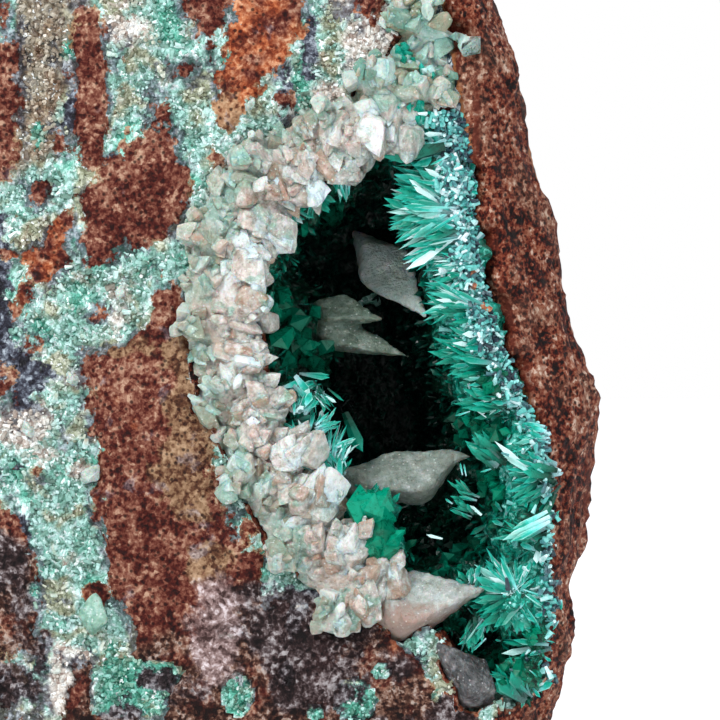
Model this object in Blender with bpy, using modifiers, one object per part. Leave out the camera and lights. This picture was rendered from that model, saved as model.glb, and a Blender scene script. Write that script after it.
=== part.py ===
# A mineral specimen: a block of brown ironstone whose front is broken open across a vug.
# Green annabergite lines the vug, and pale calcite bands its left and top rim.
# Metres, +Z up. The origin is the centre of the flat base, and the vug opens towards -Y.

import math
import random

import bmesh
import bpy
from mathutils import Matrix, Vector, noise

MM = 0.001
SPECIMEN = "annabergite_specimen"

# The block of stone, as the faces it broke along: a point on each, and the way it faces (mm).
CORE = Vector((0.0, 0.0, 43.0)) * MM
BROKEN_FACES = {
    "front": ((6.0, -21.0, 40.0), (-0.07, -1.0, 0.02)),
    "front_left": ((-24.0, -16.5, 42.0), (-0.52, -0.86, 0.06)),
    "left_side": ((-33.0, 0.0, 40.0), (-1.0, 0.06, 0.12)),
    "back_left": ((-25.0, 16.0, 44.0), (-0.66, 0.74, 0.05)),
    "back": ((0.0, 23.5, 40.0), (0.08, 1.0, 0.10)),
    "back_right": ((27.5, 10.0, 40.0), (0.86, 0.50, 0.02)),
    "right_side": ((33.0, -8.0, 38.0), (0.97, -0.02, 0.10)),
    "right_flank": ((30.6, -17.6, 38.0), (0.86, -0.50, 0.08)),
    "top_right": ((16.0, 0.0, 80.5), (0.62, 0.05, 0.78)),
    "top_left": ((-16.0, 0.0, 80.0), (-0.62, 0.12, 0.78)),
    "top": ((0.0, 0.0, 86.5), (0.06, 0.10, 1.0)),
    "top_front": ((-6.0, -15.5, 78.0), (-0.18, -0.70, 0.70)),
    "top_back": ((0.0, 17.0, 76.0), (0.0, 0.76, 0.65)),
    "low_left": ((-30.5, 0.0, 8.0), (-0.86, -0.05, -0.50)),
    "low_front": ((0.0, -20.5, 4.0), (0.05, -0.93, -0.36)),
    "underside": ((0.0, 0.0, -4.0), (0.0, 0.0, -1.0)),
}
EDGE_SHARPNESS = 30
STONE_TRIANGLES = 1900
LUMP_SIZE, LUMP_HEIGHT = 13.0 * MM, 1.1 * MM
RIDGE_WIDTH, RIDGE_LENGTH, RIDGE_HEIGHT = 3.0 * MM, 20.0 * MM, 0.6 * MM

# The right edge of the stone as seen from the front (z, x in mm), downwards.
RIGHT_OUTLINE = [
    (79.0, 18.6), (71.2, 24.2), (66.0, 26.3), (60.0, 27.1), (54.8, 28.7), (47.2, 29.9),
    (43.6, 31.1), (38.4, 33.0), (35.6, 33.0), (31.2, 31.9), (27.6, 31.7), (24.4, 30.2),
    (20.0, 30.5), (16.0, 29.3), (9.0, 28.2), (0.0, 26.0),
]
OUTLINE_FROM_X = 8.0 * MM
OUTLINE_STEP = 2.0 * MM
OUTLINE_FADE = 9.0 * MM

# The vug, as the outline that it cuts in the front face (x, z in mm), clockwise from its top.
VUG_OUTLINE = [
    (17.6, 61.6), (21.2, 59.2), (22.8, 54.0), (23.8, 48.0), (25.4, 42.4), (27.8, 36.8),
    (28.8, 31.4), (28.6, 26.0), (28.8, 20.4), (27.2, 15.4), (23.8, 16.2), (20.6, 20.4),
    (15.8, 23.6), (12.2, 28.0), (9.2, 34.4), (6.4, 40.4), (5.4, 47.0), (6.6, 53.0),
    (11.4, 57.4),
]
# How it narrows inwards: depth behind the front, scale, and sideways and upward shift (mm).
VUG_RINGS = [
    (-6.0, 1.04, 0.0, 0.0),
    (0.4, 1.0, 0.0, 0.0),
    (4.2, 0.97, -0.6, 0.2),
    (8.6, 0.90, -1.4, 0.5),
    (13.4, 0.79, -2.1, 0.8),
    (18.2, 0.63, -2.7, 1.0),
    (22.0, 0.40, -3.2, 1.2),
]
RING_POINTS = 26
CLEARANCE = 0.3 * MM

# The green crust: its thickness by the mouth on the wall on the right, and elsewhere.
CRUST_THICK, CRUST_THIN = 3.4 * MM, 1.1 * MM
CRUST_ENDS = (14.0, 62.5)  # heights (mm) near which it thins out
CRUST_SET_BACK = 0.45 * MM
RIM_SLOPE = 2.2  # how much deeper (mm) its inner side starts
LEFT_RIM_DEPTH = 2.6  # and its whole rim on the left
CRUST_DEPTHS = [0.4, 3.4, 6.6, 10.2, 14.0, 18.2, 22.0]
POINT_SHORT, POINT_LONG = 0.4 * MM, 1.5 * MM

# Mounds of green crystals: middle, radii and length of their points (mm).
GREEN_MOUNDS = [
    ((7.6, -11.5, 44.4), (4.4, 4.0, 4.6), 0.9),
    ((12.0, -3.0, 54.6), (3.8, 4.2, 3.2), 0.8),
    ((20.5, -13.0, 23.5), (5.2, 4.6, 3.4), 0.9),
]
# Rosettes of blades: middle (x, z in mm), radius (mm), blades, and turn to the left (degrees).
ROSETTES = [
    (25.7, 23.6, 4.0, 13, 8),
    (26.2, 17.9, 2.6, 9, -6),
    (26.4, 30.2, 2.7, 9, 20),
    (25.8, 35.4, 2.9, 10, 30),
    (24.2, 40.6, 2.7, 9, 34),
    (22.8, 45.6, 2.8, 10, 36),
    (21.8, 50.6, 2.7, 9, 38),
    (20.4, 55.8, 2.9, 10, 34),
]
ROSETTE_NOTCH = 0.62
ROSETTE_RISE = 0.6
ROSETTE_SUNK = 1.1
# Block-shaped green crystals at the lower left of the mouth.
GREEN_BLOCKS = [  # middle, size (mm), and turn about Y (degrees)
    ((14.6, -19.6, 30.1), (2.9, 3.6, 3.6), 24),
    ((15.6, -19.9, 27.7), (3.1, 3.9, 3.1), -31),
    ((13.4, -18.6, 27.2), (2.8, 4.6, 3.4), 8),
]

# The calcite band: its line down the rim of the vug (x, z in mm), and its section.
CALCITE_LINE = [
    (18.8, 68.5), (17.4, 64.6), (14.4, 60.6), (9.6, 58.6), (5.2, 55.8), (3.0, 51.4),
    (2.5, 46.0), (3.4, 40.6), (5.8, 35.2), (8.6, 29.8), (11.0, 26.2), (13.2, 24.2),
]
CALCITE_HALF_WIDTH, CALCITE_HALF_DEPTH = 2.7 * MM, 1.3 * MM
CALCITE_SUNK = 0.5 * MM
CALCITE_STEPS = 18
CALCITE_SIDES = 8
# Its crystals, in rows along the line: how far to the vug's side (mm), how much they lean
# that way, and how many they are.
CALCITE_ROWS = [(1.9, 1.1, 14), (0.0, 0.3, 12), (-1.7, -0.3, 10)]
CALCITE_CRYSTAL_LENGTH = 5.2 * MM
CALCITE_CRYSTAL_WIDTH = 4.3 * MM

# Single calcite points: root, tip (mm) and greatest width (mm).
CALCITE_POINTS = {
    "calcite_crystal_upper": [((12.8, -4.5, 53.4), (19.2, -14.5, 45.5), 5.2)],
    "calcite_crystals_middle": [
        ((8.6, -12.2, 46.6), (15.6, -16.0, 45.6), 3.7),
        ((7.9, -12.4, 45.4), (17.8, -15.4, 42.6), 3.5),
    ],
    "calcite_crystal_large": [((9.2, -14.8, 32.6), (22.8, -17.2, 34.8), 5.6)],
    "calcite_crystal_front": [((12.6, -19.4, 21.8), (23.7, -22.6, 24.9), 6.3)],
    "calcite_crystal_smoky": [((24.2, -19.9, 14.8), (19.3, -23.4, 20.9), 4.9)],
}
CALCITE_BEVEL = 0.16 * MM

# Finishes: colour, roughness
FINISHES = {
    "ironstone": ((0.19, 0.075, 0.045), 0.85),
    "annabergite": ((0.01, 0.36, 0.24), 0.3),
    "calcite": ((0.74, 0.68, 0.62), 0.4),
    "smoky_calcite": ((0.30, 0.30, 0.31), 0.3),
}


def material(name):
    colour, roughness = FINISHES[name]
    made = bpy.data.materials.get(name) or bpy.data.materials.new(name)
    made.use_nodes = True
    shader = made.node_tree.nodes["Principled BSDF"]
    shader.inputs["Base Color"].default_value = (*colour, 1.0)
    shader.inputs["Roughness"].default_value = roughness
    return made


def new_object(name, bm, collection, finish=None):
    mesh = bpy.data.meshes.new(name)
    bmesh.ops.recalc_face_normals(bm, faces=bm.faces)
    bm.to_mesh(mesh)
    bm.free()
    obj = bpy.data.objects.new(name, mesh)
    collection.objects.link(obj)
    if finish:
        mesh.materials.append(material(finish))
    return obj


def cutter_object(name, bm, collection):
    obj = new_object(name, bm, collection)
    obj.hide_render = True
    obj.display_type = "WIRE"
    return obj


def combine(target, other, operation, tangled=False):
    # Tangled is for a mesh whose own crystals run into each other.
    modifier = target.modifiers.new(f"{operation.lower()}_{other.name}", "BOOLEAN")
    modifier.operation = operation
    modifier.solver = "EXACT"
    modifier.use_self = tangled
    modifier.object = other


def freeze(obj):
    # Replaces the mesh by what its modifiers make of it, without loose crumbs.
    bpy.context.view_layer.update()
    evaluated = obj.evaluated_get(bpy.context.evaluated_depsgraph_get())
    mesh = bpy.data.meshes.new_from_object(evaluated)
    obj.modifiers.clear()
    bm = bmesh.new()
    bm.from_mesh(mesh)
    bmesh.ops.remove_doubles(bm, verts=bm.verts, dist=0.0002 * MM)
    bmesh.ops.triangulate(bm, faces=bm.faces)
    crumbs = sorted(connected_faces(bm), key=len)[:-1]
    bmesh.ops.delete(bm, geom=[face for crumb in crumbs for face in crumb], context="FACES")
    bm.to_mesh(mesh)
    bm.free()
    obj.data = mesh


def connected_faces(bm):
    # The faces in groups that hang together.
    unseen = set(bm.faces)
    groups = []
    while unseen:
        waiting = [unseen.pop()]
        group = []
        while waiting:
            face = waiting.pop()
            group.append(face)
            for edge in face.edges:
                for other in edge.link_faces:
                    if other in unseen:
                        unseen.remove(other)
                        waiting.append(other)
        groups.append(group)
    return groups


def grown_copy(obj, distance, collection):
    # A cutter a little larger than a piece, which leaves a gap round it.
    bm = bmesh.new()
    bm.from_mesh(obj.data)
    bm.normal_update()
    moves = [(vert, vert.normal * distance * vert.calc_shell_factor()) for vert in bm.verts]
    for vert, move in moves:
        vert.co += move
    return cutter_object(f"round_{obj.name}", bm, collection)


def stone_reach(direction):
    # Distance from the core to the stone's surface: its broken faces, with rounded edges.
    pull = 0.0
    for point, outward in BROKEN_FACES.values():
        normal = Vector(outward).normalized()
        distance = normal.dot(Vector(point) * MM - CORE)
        pull += max(0.0, normal.dot(direction) / distance) ** EDGE_SHARPNESS
    return pull ** (-1.0 / EDGE_SHARPNESS)


def stone_relief(point):
    # Lumps, and upright ridges along the layers of the stone.
    lumps = noise.fractal(point / LUMP_SIZE, 0.9, 2.1, 3) * LUMP_HEIGHT
    along = Vector((point.x / RIDGE_WIDTH, point.y / RIDGE_WIDTH, point.z / RIDGE_LENGTH))
    return lumps + noise.noise(along) * RIDGE_HEIGHT


def along_line(line, place):
    # The value at a place of a line given as (place, value) pairs, largest place first.
    for (high, at_high), (low, at_low) in zip(line, line[1:]):
        if place >= low:
            share = min(1.0, (high - place) / (high - low))
            return at_high + (at_low - at_high) * share
    return line[-1][1]


def follow_right_outline(bm):
    # Moves the right side sideways, height by height, until its edge follows the outline.
    reached = {}
    for vert in bm.verts:
        level = round(vert.co.z / OUTLINE_STEP)
        reached[level] = max(reached.get(level, 0.0), vert.co.x)
    for vert in bm.verts:
        beyond = vert.co.x - OUTLINE_FROM_X
        below_top = RIGHT_OUTLINE[0][0] * MM - vert.co.z
        if beyond <= 0.0 or below_top <= 0.0:
            continue
        low = math.floor(vert.co.z / OUTLINE_STEP)
        share = vert.co.z / OUTLINE_STEP - low
        here = reached.get(low, 0.0)
        now = here + (reached.get(low + 1, here) - here) * share
        wanted = along_line(RIGHT_OUTLINE, vert.co.z / MM) * MM
        change = (wanted - OUTLINE_FROM_X) / (now - OUTLINE_FROM_X) - 1.0
        vert.co.x += beyond * change * min(1.0, below_top / OUTLINE_FADE)


def build_stone(collection):
    bm = bmesh.new()
    bmesh.ops.create_icosphere(bm, subdivisions=6, radius=1.0)
    for vert in bm.verts:
        direction = vert.co.normalized()
        surface = CORE + direction * stone_reach(direction)
        vert.co = surface + direction * stone_relief(surface)
    follow_right_outline(bm)
    faces = len(bm.faces)
    stone = new_object("matrix", bm, collection, "ironstone")
    thinned = stone.modifiers.new("broken_facets", "DECIMATE")
    thinned.ratio = STONE_TRIANGLES / faces
    return stone


def base_cutter(collection):
    bm = bmesh.new()
    size = 120.0 * MM
    bmesh.ops.create_cube(bm, size=size, matrix=Matrix.Translation((0, 0, -size / 2)))
    return cutter_object("under_base", bm, collection)


def smooth_line(corners, count, closed):
    # Points spaced evenly along a smooth curve through the corners.
    corners = [Vector(corner) for corner in corners]
    total = len(corners)
    spans = total if closed else total - 1
    fine = []
    for span in range(spans):
        ends = [span - 1, span, span + 1, span + 2]
        picked = [k % total if closed else min(max(k, 0), total - 1) for k in ends]
        a, b, c, d = (corners[k] for k in picked)
        for step in range(20):
            t = step / 20
            bend = (2 * a - 5 * b + 4 * c - d) * t * t + (3 * b - a - 3 * c + d) * t ** 3
            fine.append((2 * b + (c - a) * t + bend) / 2)
    fine.append(corners[0] if closed else corners[-1])
    travelled = [0.0]
    for before, after in zip(fine, fine[1:]):
        travelled.append(travelled[-1] + (after - before).length)
    gaps = count if closed else count - 1
    points, k = [], 0
    for i in range(count):
        goal = travelled[-1] * i / gaps
        while k < len(fine) - 2 and travelled[k + 1] < goal:
            k += 1
        share = (goal - travelled[k]) / (travelled[k + 1] - travelled[k])
        points.append(fine[k].lerp(fine[k + 1], share))
    return points


def front_surface_y(x, z):
    # Where the stone's front face lies, leaving its relief aside.
    point, outward = BROKEN_FACES["front"]
    across = outward[0] * (x - point[0]) + outward[2] * (z - point[2])
    return point[1] - across / outward[1]


def ring_at(depth):
    # How the vug's outline has narrowed and shifted at a depth.
    for front, back in zip(VUG_RINGS, VUG_RINGS[1:]):
        if depth <= back[0]:
            share = (depth - front[0]) / (back[0] - front[0])
            return [a + (b - a) * share for a, b in zip(front[1:], back[1:])]
    return VUG_RINGS[-1][1:]


def vug_ring(depth, set_back=0.0, thickness=0.0):
    # One ring of the vug's wall at a depth (mm), or one of the crust on it, whose rim is
    # deeper on the left and slopes in.
    outline = smooth_line(VUG_OUTLINE, RING_POINTS, closed=True)
    middle = sum(outline, Vector((0.0, 0.0))) / RING_POINTS
    near_mouth = max(0.0, 1.0 - depth / 9.0)
    points = []
    for i, point in enumerate(outline):
        along = outline[(i + 1) % RING_POINTS] - outline[i - 1]
        outward = Vector((-along.y, along.x)).normalized()
        on_right = max(0.0, outward.x) ** 0.7
        deeper = LEFT_RIM_DEPTH * near_mouth * (1.0 - on_right) if set_back else 0.0
        if thickness:
            deeper += RIM_SLOPE * near_mouth * (0.4 + 0.6 * on_right)
        scale, shift_x, shift_z = ring_at(depth + deeper)
        place = middle + (point - middle) * scale + Vector((shift_x, shift_z))
        behind = front_surface_y(place.x, place.y) + depth + deeper
        inset = set_back
        if thickness:
            fade = min(1.0, (place.y - CRUST_ENDS[0]) / 10, (CRUST_ENDS[1] - place.y) / 6)
            thick_side = (thickness - CRUST_THIN) * on_right * scale ** 3 * max(0.0, fade)
            inset += CRUST_THIN * scale * max(0.4, fade) + thick_side
        place = place * MM - outward * inset
        points.append(Vector((place.x, behind * MM, place.y)))
    return points


def loft(bm, rings, close_first, close_last):
    # Quads between one ring and the next. Returns them, ring by ring.
    loops = [[bm.verts.new(point) for point in ring] for ring in rings]
    walls = []
    for front, back in zip(loops, loops[1:]):
        for i in range(len(front)):
            j = (i + 1) % len(front)
            walls.append(bm.faces.new((front[i], front[j], back[j], back[i])))
    if close_first:
        bm.faces.new(loops[0])
    if close_last:
        bm.faces.new(loops[-1])
    return loops, walls


def vug_cutter(collection):
    bm = bmesh.new()
    rings = [vug_ring(ring[0]) for ring in VUG_RINGS]
    loops, walls = loft(bm, rings, close_first=True, close_last=False)
    tip = sum(rings[-1], Vector()) / RING_POINTS + Vector((0, 2.6 * MM, 0))
    close_to_point(bm, loops[-1], tip)
    return cutter_object("vug", bm, collection)


def close_to_point(bm, loop, tip):
    end = bm.verts.new(tip)
    return [bm.faces.new((loop[i - 1], loop[i], end)) for i in range(len(loop))]


def build_crust(collection, chance):
    # A lining of the vug, whose inner side and rim come to a point in every face.
    outer = [vug_ring(ring[0], CRUST_SET_BACK) for ring in VUG_RINGS[1:]]
    inner = [vug_ring(depth, CRUST_SET_BACK, CRUST_THICK) for depth in CRUST_DEPTHS]
    rim_middle = [(a + b) / 2 for a, b in zip(outer[0], inner[0])]
    bm = bmesh.new()
    loops, _ = loft(bm, [*reversed(outer), rim_middle, *inner], False, False)
    middle = sum(outer[-1], Vector()) / RING_POINTS
    close_to_point(bm, loops[0], middle + Vector((0, 1.4 * MM, 0)))
    close_to_point(bm, loops[-1], middle - Vector((0, 0.6 * MM, 0)))
    bmesh.ops.recalc_face_normals(bm, faces=bm.faces)
    bm.verts.index_update()
    first_inner = (len(outer) - 1) * RING_POINTS
    last_inner = (len(outer) + 1 + len(inner)) * RING_POINTS
    pointed = [
        face for face in bm.faces
        if all(first_inner <= vert.index < last_inner for vert in face.verts)
    ]
    for face in pointed:
        height = chance.uniform(POINT_SHORT, POINT_LONG)
        tip = bmesh.ops.poke(bm, faces=[face], offset=height)["verts"][0]
        tip.co += Vector([chance.uniform(-0.4, 0.4) * MM for _ in range(3)])
    return new_object("annabergite_crust", bm, collection, "annabergite")


def green_clumps(collection):
    # What stands on the crust, and the room that each takes in the stone.
    clumps, rooms = [], []
    for k, details in enumerate(ROSETTES):
        clumps.append(rosette(f"rosette_{k}", *details, collection))
        rooms.append(rosette_room(f"round_rosette_{k}", *details, collection))
    for k, details in enumerate(GREEN_BLOCKS):
        block = green_block(f"green_block_{k}", *details, collection)
        clumps.append(block)
        rooms.append(grown_copy(block, CLEARANCE, collection))
    for k, (middle, radii, spike) in enumerate(GREEN_MOUNDS):
        name = f"green_mound_{k}"
        clumps.append(green_mound(name, middle, radii, spike, 0.0, collection))
        rooms.append(green_mound(f"round_{name}", middle, radii, 0.0, spike + 0.5, collection))
    return clumps, rooms


def green_mound(name, middle, radii, spike, room, collection):
    # A ball of crystals: every face of a rounded lump that shows comes to a point.
    bm = bmesh.new()
    bmesh.ops.create_icosphere(bm, subdivisions=2, radius=1.0)
    for vert in bm.verts:
        swell = 1.0 + 0.15 * noise.noise(vert.co * 2.3 + Vector(middle))
        reach = [vert.co[k] * (radii[k] * swell + room) for k in range(3)]
        vert.co = (Vector(reach) + Vector(middle)) * MM
    bm.normal_update()
    if spike:
        showing = [face for face in bm.faces if face.normal.y < 0.1]
        bmesh.ops.poke(bm, faces=showing, offset=spike * MM)
    return cutter_object(name, bm, collection)


def rosette_place(x, z, turn):
    middle = Vector((x, front_surface_y(x, z) + ROSETTE_SUNK, z)) * MM
    return Matrix.Translation(middle) @ Matrix.Rotation(math.radians(-turn), 4, "Z")


def rosette(name, x, z, radius, blades, turn, collection):
    # Blades that spread from one middle, as a star with its middle raised towards the viewer.
    radius *= MM
    corners = []
    for k in range(2 * blades):
        angle = math.pi * k / blades
        reach = radius * (ROSETTE_NOTCH if k % 2 else 1.0 - 0.14 * (k * 7 % 5) / 4)
        corners.append(Vector((math.cos(angle) * reach, 0.0, math.sin(angle) * reach)))
    bm = bmesh.new()
    front = [bm.verts.new(corner) for corner in corners]
    back = [bm.verts.new(corner * 0.8 + Vector((0, 0.5 * radius, 0))) for corner in corners]
    for k in range(len(front)):
        bm.faces.new((front[k - 1], front[k], back[k], back[k - 1]))
    bm.faces.new(back)
    close_to_point(bm, front, Vector((0, -ROSETTE_RISE * radius, 0)))
    bmesh.ops.transform(bm, matrix=rosette_place(x, z, turn), verts=bm.verts)
    return cutter_object(name, bm, collection)


def rosette_room(name, x, z, radius, blades, turn, collection):
    bm = bmesh.new()
    wide = radius * MM + CLEARANCE
    deep = 0.5 * radius * MM + CLEARANCE
    bmesh.ops.create_cone(
        bm, cap_ends=True, segments=12, radius1=wide * 1.04, radius2=wide * 0.92, depth=4 * deep,
        matrix=rosette_place(x, z, turn)
        @ Matrix.Rotation(math.radians(-90), 4, "X") @ Matrix.Translation((0, 0, -deep)),
    )
    return cutter_object(name, bm, collection)


def green_block(name, middle, size, turn, collection):
    bm = bmesh.new()
    place = (
        Matrix.Translation(Vector(middle) * MM)
        @ Matrix.Rotation(math.radians(turn), 4, "Y")
        @ Matrix.Rotation(math.radians(turn / 2 + 12), 4, "Z")
        @ Matrix.Diagonal((*(Vector(size) * MM), 1.0))
    )
    bmesh.ops.create_cube(bm, size=1.0, matrix=place)
    return cutter_object(name, bm, collection)


def band_stations(count):
    # Places along the calcite band, each with the direction towards the vug.
    line = smooth_line(CALCITE_LINE, count, closed=False)
    stations = []
    for i, point in enumerate(line):
        along = line[min(i + 1, count - 1)] - line[max(i - 1, 0)]
        to_vug = Vector((along.y, 0, -along.x)).normalized() * -1
        place = Vector((point.x, front_surface_y(point.x, point.y), point.y)) * MM
        place.y += CALCITE_SUNK
        stations.append((place, to_vug))
    return stations


def calcite_band(room):
    # The band that the crystals stand on, rounded off at both ends.
    rings = []
    for i, (place, to_vug) in enumerate(band_stations(CALCITE_STEPS)):
        near_end = min(i, CALCITE_STEPS - 1 - i)
        ends = math.sin(math.pi * min(1.0, (near_end + 1.2) / 3.5) / 2)
        ring = []
        for k in range(CALCITE_SIDES):
            angle = 2 * math.pi * k / CALCITE_SIDES
            across = to_vug * math.cos(angle) * (CALCITE_HALF_WIDTH * ends + room)
            out = Vector((0, -math.sin(angle) * (CALCITE_HALF_DEPTH * ends + room), 0))
            ring.append(place + across + out)
        rings.append(ring)
    bm = bmesh.new()
    loft(bm, rings, close_first=True, close_last=True)
    return bm


def calcite_crystals(chance):
    # Root, tip and width of each crystal of the band.
    crystals = []
    for offset, lean, count in CALCITE_ROWS:
        for place, to_vug in band_stations(count):
            towards = to_vug * (lean + chance.uniform(-0.3, 0.3)) + Vector((0, -1, 0))
            towards += to_vug.cross(Vector((0, 1, 0))) * chance.uniform(-0.45, 0.45)
            towards.normalize()
            length = CALCITE_CRYSTAL_LENGTH * chance.uniform(0.7, 1.05)
            width = CALCITE_CRYSTAL_WIDTH * chance.uniform(0.75, 1.2)
            root = place + to_vug * offset * MM - towards * 0.25 * length
            crystals.append((root / MM, (root + towards * length) / MM, width / MM))
    return crystals


def build_calcite_crust(collection, helpers, chance):
    # The crust, and the room that it takes in the stone and in the green crust.
    crust = new_object("calcite_crust", calcite_band(0.0), collection, "calcite")
    room = cutter_object("calcite_crust_room", calcite_band(CLEARANCE), helpers)
    for k, crystal in enumerate(calcite_crystals(chance)):
        for whole, space in ((crust, 0.0), (room, CLEARANCE)):
            point = calcite_point_mesh(*crystal, space)
            combine(whole, cutter_object(f"{whole.name}_{k}", point, helpers), "UNION")
    freeze(crust)
    freeze(room)
    return crust, room


def scalenohedron(bm, root, tip, width):
    # A calcite point: two six-sided points, base to base, on a belt that steps up and down.
    axis = (tip - root).normalized()
    length = (tip - root).length
    turned = axis.to_track_quat("Z", "Y").to_matrix().to_4x4()
    belt_place = 0.4 * length
    middle = root + axis * belt_place
    belt = []
    for k in range(6):
        angle = math.pi * k / 3 + 0.3
        wide = width / 2 * (1.0 if k % 2 else 0.84)
        step = 0.09 * length * (1 if k % 2 else -1)
        place = Vector((math.cos(angle) * wide, math.sin(angle) * wide * 0.92, step))
        belt.append(bm.verts.new(middle + turned @ place))
    close_to_point(bm, belt, tip)
    close_to_point(bm, belt, root)


def calcite_point_mesh(root, tip, width, room):
    # With room, the same point a little larger all round, for the pocket that it stands in.
    root, tip, width = Vector(root) * MM, Vector(tip) * MM, width * MM
    axis = (tip - root).normalized()
    slenderness = (tip - root).length / width
    bm = bmesh.new()
    stretch = room * 1.6 * slenderness
    scalenohedron(bm, root - axis * stretch, tip + axis * stretch, width + 3.2 * room)
    bmesh.ops.recalc_face_normals(bm, faces=bm.faces)
    return bm


def build_calcite_points(name, points, collection, helpers):
    # Points that have grown into each other are joined in one solid.
    finish = "smoky_calcite" if "smoky" in name else "calcite"
    crystal = new_object(name, calcite_point_mesh(*points[0], 0.0), collection, finish)
    for k, point in enumerate(points[1:]):
        other = cutter_object(f"{name}_twin_{k}", calcite_point_mesh(*point, 0.0), helpers)
        combine(crystal, other, "UNION")
    bevel = crystal.modifiers.new("worn_edges", "BEVEL")
    bevel.width = CALCITE_BEVEL
    bevel.segments = 1
    bevel.limit_method = "ANGLE"
    bevel.angle_limit = math.radians(20)
    return crystal


def build_pockets(helpers):
    return [
        cutter_object(f"pocket_{name}_{k}", calcite_point_mesh(*point, CLEARANCE), helpers)
        for name, points in CALCITE_POINTS.items()
        for k, point in enumerate(points)
    ]


def empty_scene():
    for obj in list(bpy.data.objects):
        bpy.data.objects.remove(obj)


def new_collection(name):
    made = bpy.data.collections.new(name)
    bpy.context.scene.collection.children.link(made)
    return made


def main():
    empty_scene()
    parts = new_collection(SPECIMEN)
    helpers = new_collection("cutters")
    chance = random.Random(7)

    pockets = build_pockets(helpers)
    calcite, calcite_room = build_calcite_crust(parts, helpers, chance)
    clumps, clump_rooms = green_clumps(helpers)

    matrix = build_stone(parts)
    for cutter in [base_cutter(helpers), vug_cutter(helpers), calcite_room, *pockets]:
        combine(matrix, cutter, "DIFFERENCE")
    freeze(matrix)
    for cutter in clump_rooms:
        combine(matrix, cutter, "DIFFERENCE")
    freeze(matrix)

    for pocket in pockets:
        combine(calcite, pocket, "DIFFERENCE")
    freeze(calcite)

    crust = build_crust(parts, chance)
    for k, clump in enumerate(clumps):
        combine(crust, clump, "UNION", tangled=k == 0)
    freeze(crust)
    for cutter in [calcite_room, *pockets]:
        combine(crust, cutter, "DIFFERENCE")
    freeze(crust)

    for name, points in CALCITE_POINTS.items():
        build_calcite_points(name, points, parts, helpers)


main()
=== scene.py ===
# Looks of the annabergite specimen: brown ironstone with pale green veins, a vug lined with
# green crystals, and calcite round its rim and across it. Sizes in millimetres until they
# become mesh places; z is up and the vug opens towards -y.

import math

import bpy
import numpy as np
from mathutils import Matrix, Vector
from mathutils.bvhtree import BVHTree


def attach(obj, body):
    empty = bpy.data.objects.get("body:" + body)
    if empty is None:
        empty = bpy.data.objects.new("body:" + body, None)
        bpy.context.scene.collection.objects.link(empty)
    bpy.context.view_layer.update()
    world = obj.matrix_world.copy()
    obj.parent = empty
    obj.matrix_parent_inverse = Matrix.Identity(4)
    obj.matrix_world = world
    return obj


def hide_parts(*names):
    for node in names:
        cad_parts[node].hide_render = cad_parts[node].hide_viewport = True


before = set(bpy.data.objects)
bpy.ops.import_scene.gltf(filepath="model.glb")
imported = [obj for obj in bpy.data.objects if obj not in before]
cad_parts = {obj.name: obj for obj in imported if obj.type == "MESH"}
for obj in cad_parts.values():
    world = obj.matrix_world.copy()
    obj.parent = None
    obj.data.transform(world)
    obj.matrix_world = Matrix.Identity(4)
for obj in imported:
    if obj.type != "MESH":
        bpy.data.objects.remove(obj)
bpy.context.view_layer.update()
mm = 0.001

view = {
    "camera": (13.6, -254.0, 42.4),
    "lens": 150.0,
    "planeY": -14.0,  # the depth at which the outlines below are given, as the camera sees them
}


# Helpers: objects

def clearSelection():
    if bpy.context.object and bpy.context.object.mode != "OBJECT":
        bpy.ops.object.mode_set(mode="OBJECT")
    bpy.ops.object.select_all(action="DESELECT")


def activate(obj):
    clearSelection()
    obj.select_set(True)
    bpy.context.view_layer.objects.active = obj


def copyOfNode(nodeName, name):
    # The CAD node's shape as a new object, with its loose triangles merged.
    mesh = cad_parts[nodeName].data.copy()
    mesh.materials.clear()
    obj = bpy.data.objects.new(name, mesh)
    bpy.context.scene.collection.objects.link(obj)
    activate(obj)
    bpy.ops.object.mode_set(mode="EDIT")
    bpy.ops.mesh.select_all(action="SELECT")
    bpy.ops.mesh.remove_doubles(threshold=0.0000005)
    bpy.ops.object.mode_set(mode="OBJECT")
    return obj


def applyModifier(obj, kind, name, **settings):
    activate(obj)
    modifier = obj.modifiers.new(name, kind)
    for key, value in settings.items():
        setattr(modifier, key, value)
    bpy.ops.object.modifier_apply(modifier=name)


def placesOf(obj):
    places = np.empty(len(obj.data.vertices) * 3)
    obj.data.vertices.foreach_get("co", places)
    return places.reshape(-1, 3) / mm


def setPlaces(obj, places):
    obj.data.vertices.foreach_set("co", (places * mm).ravel())
    obj.data.update()


def normalsOf(obj):
    normals = np.empty(len(obj.data.vertices) * 3)
    obj.data.vertices.foreach_get("normal", normals)
    return normals.reshape(-1, 3)


def setAttribute(obj, name, values):
    attribute = obj.data.attributes.get(name) or obj.data.attributes.new(name, "FLOAT", "POINT")
    attribute.data.foreach_set("value", np.asarray(values, np.float32))


def finishPiece(obj, material, slot, *replaced):
    obj.data.materials.clear()
    obj.data.materials.append(material)
    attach(obj, "root")
    if replaced:
        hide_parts(*replaced)
    return obj


# Helpers: fields

def softNoise(places, size, seed):
    # Smooth noise from -1 to 1, one value for each place.
    cells = places / size + 31.7 * seed
    base = np.floor(cells).astype(np.int64)
    part = cells - base
    part = part * part * (3 - 2 * part)
    total = np.zeros(len(places))
    for corner in range(8):
        step = np.array([corner & 1, corner >> 1 & 1, corner >> 2 & 1])
        at = base + step
        mixed = at[:, 0] * 73856093 ^ at[:, 1] * 19349663 ^ at[:, 2] * 83492791
        mixed = (mixed * 1103515245 + 12345 * (seed + 1)) & 0x7FFFFFFF
        mixed = (mixed ^ mixed >> 13) * 69069 & 0x7FFFFFFF
        share = np.where(step, part, 1 - part).prod(axis=1)
        total += share * (mixed / 0x3FFFFFFF - 1)
    return total


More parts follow.
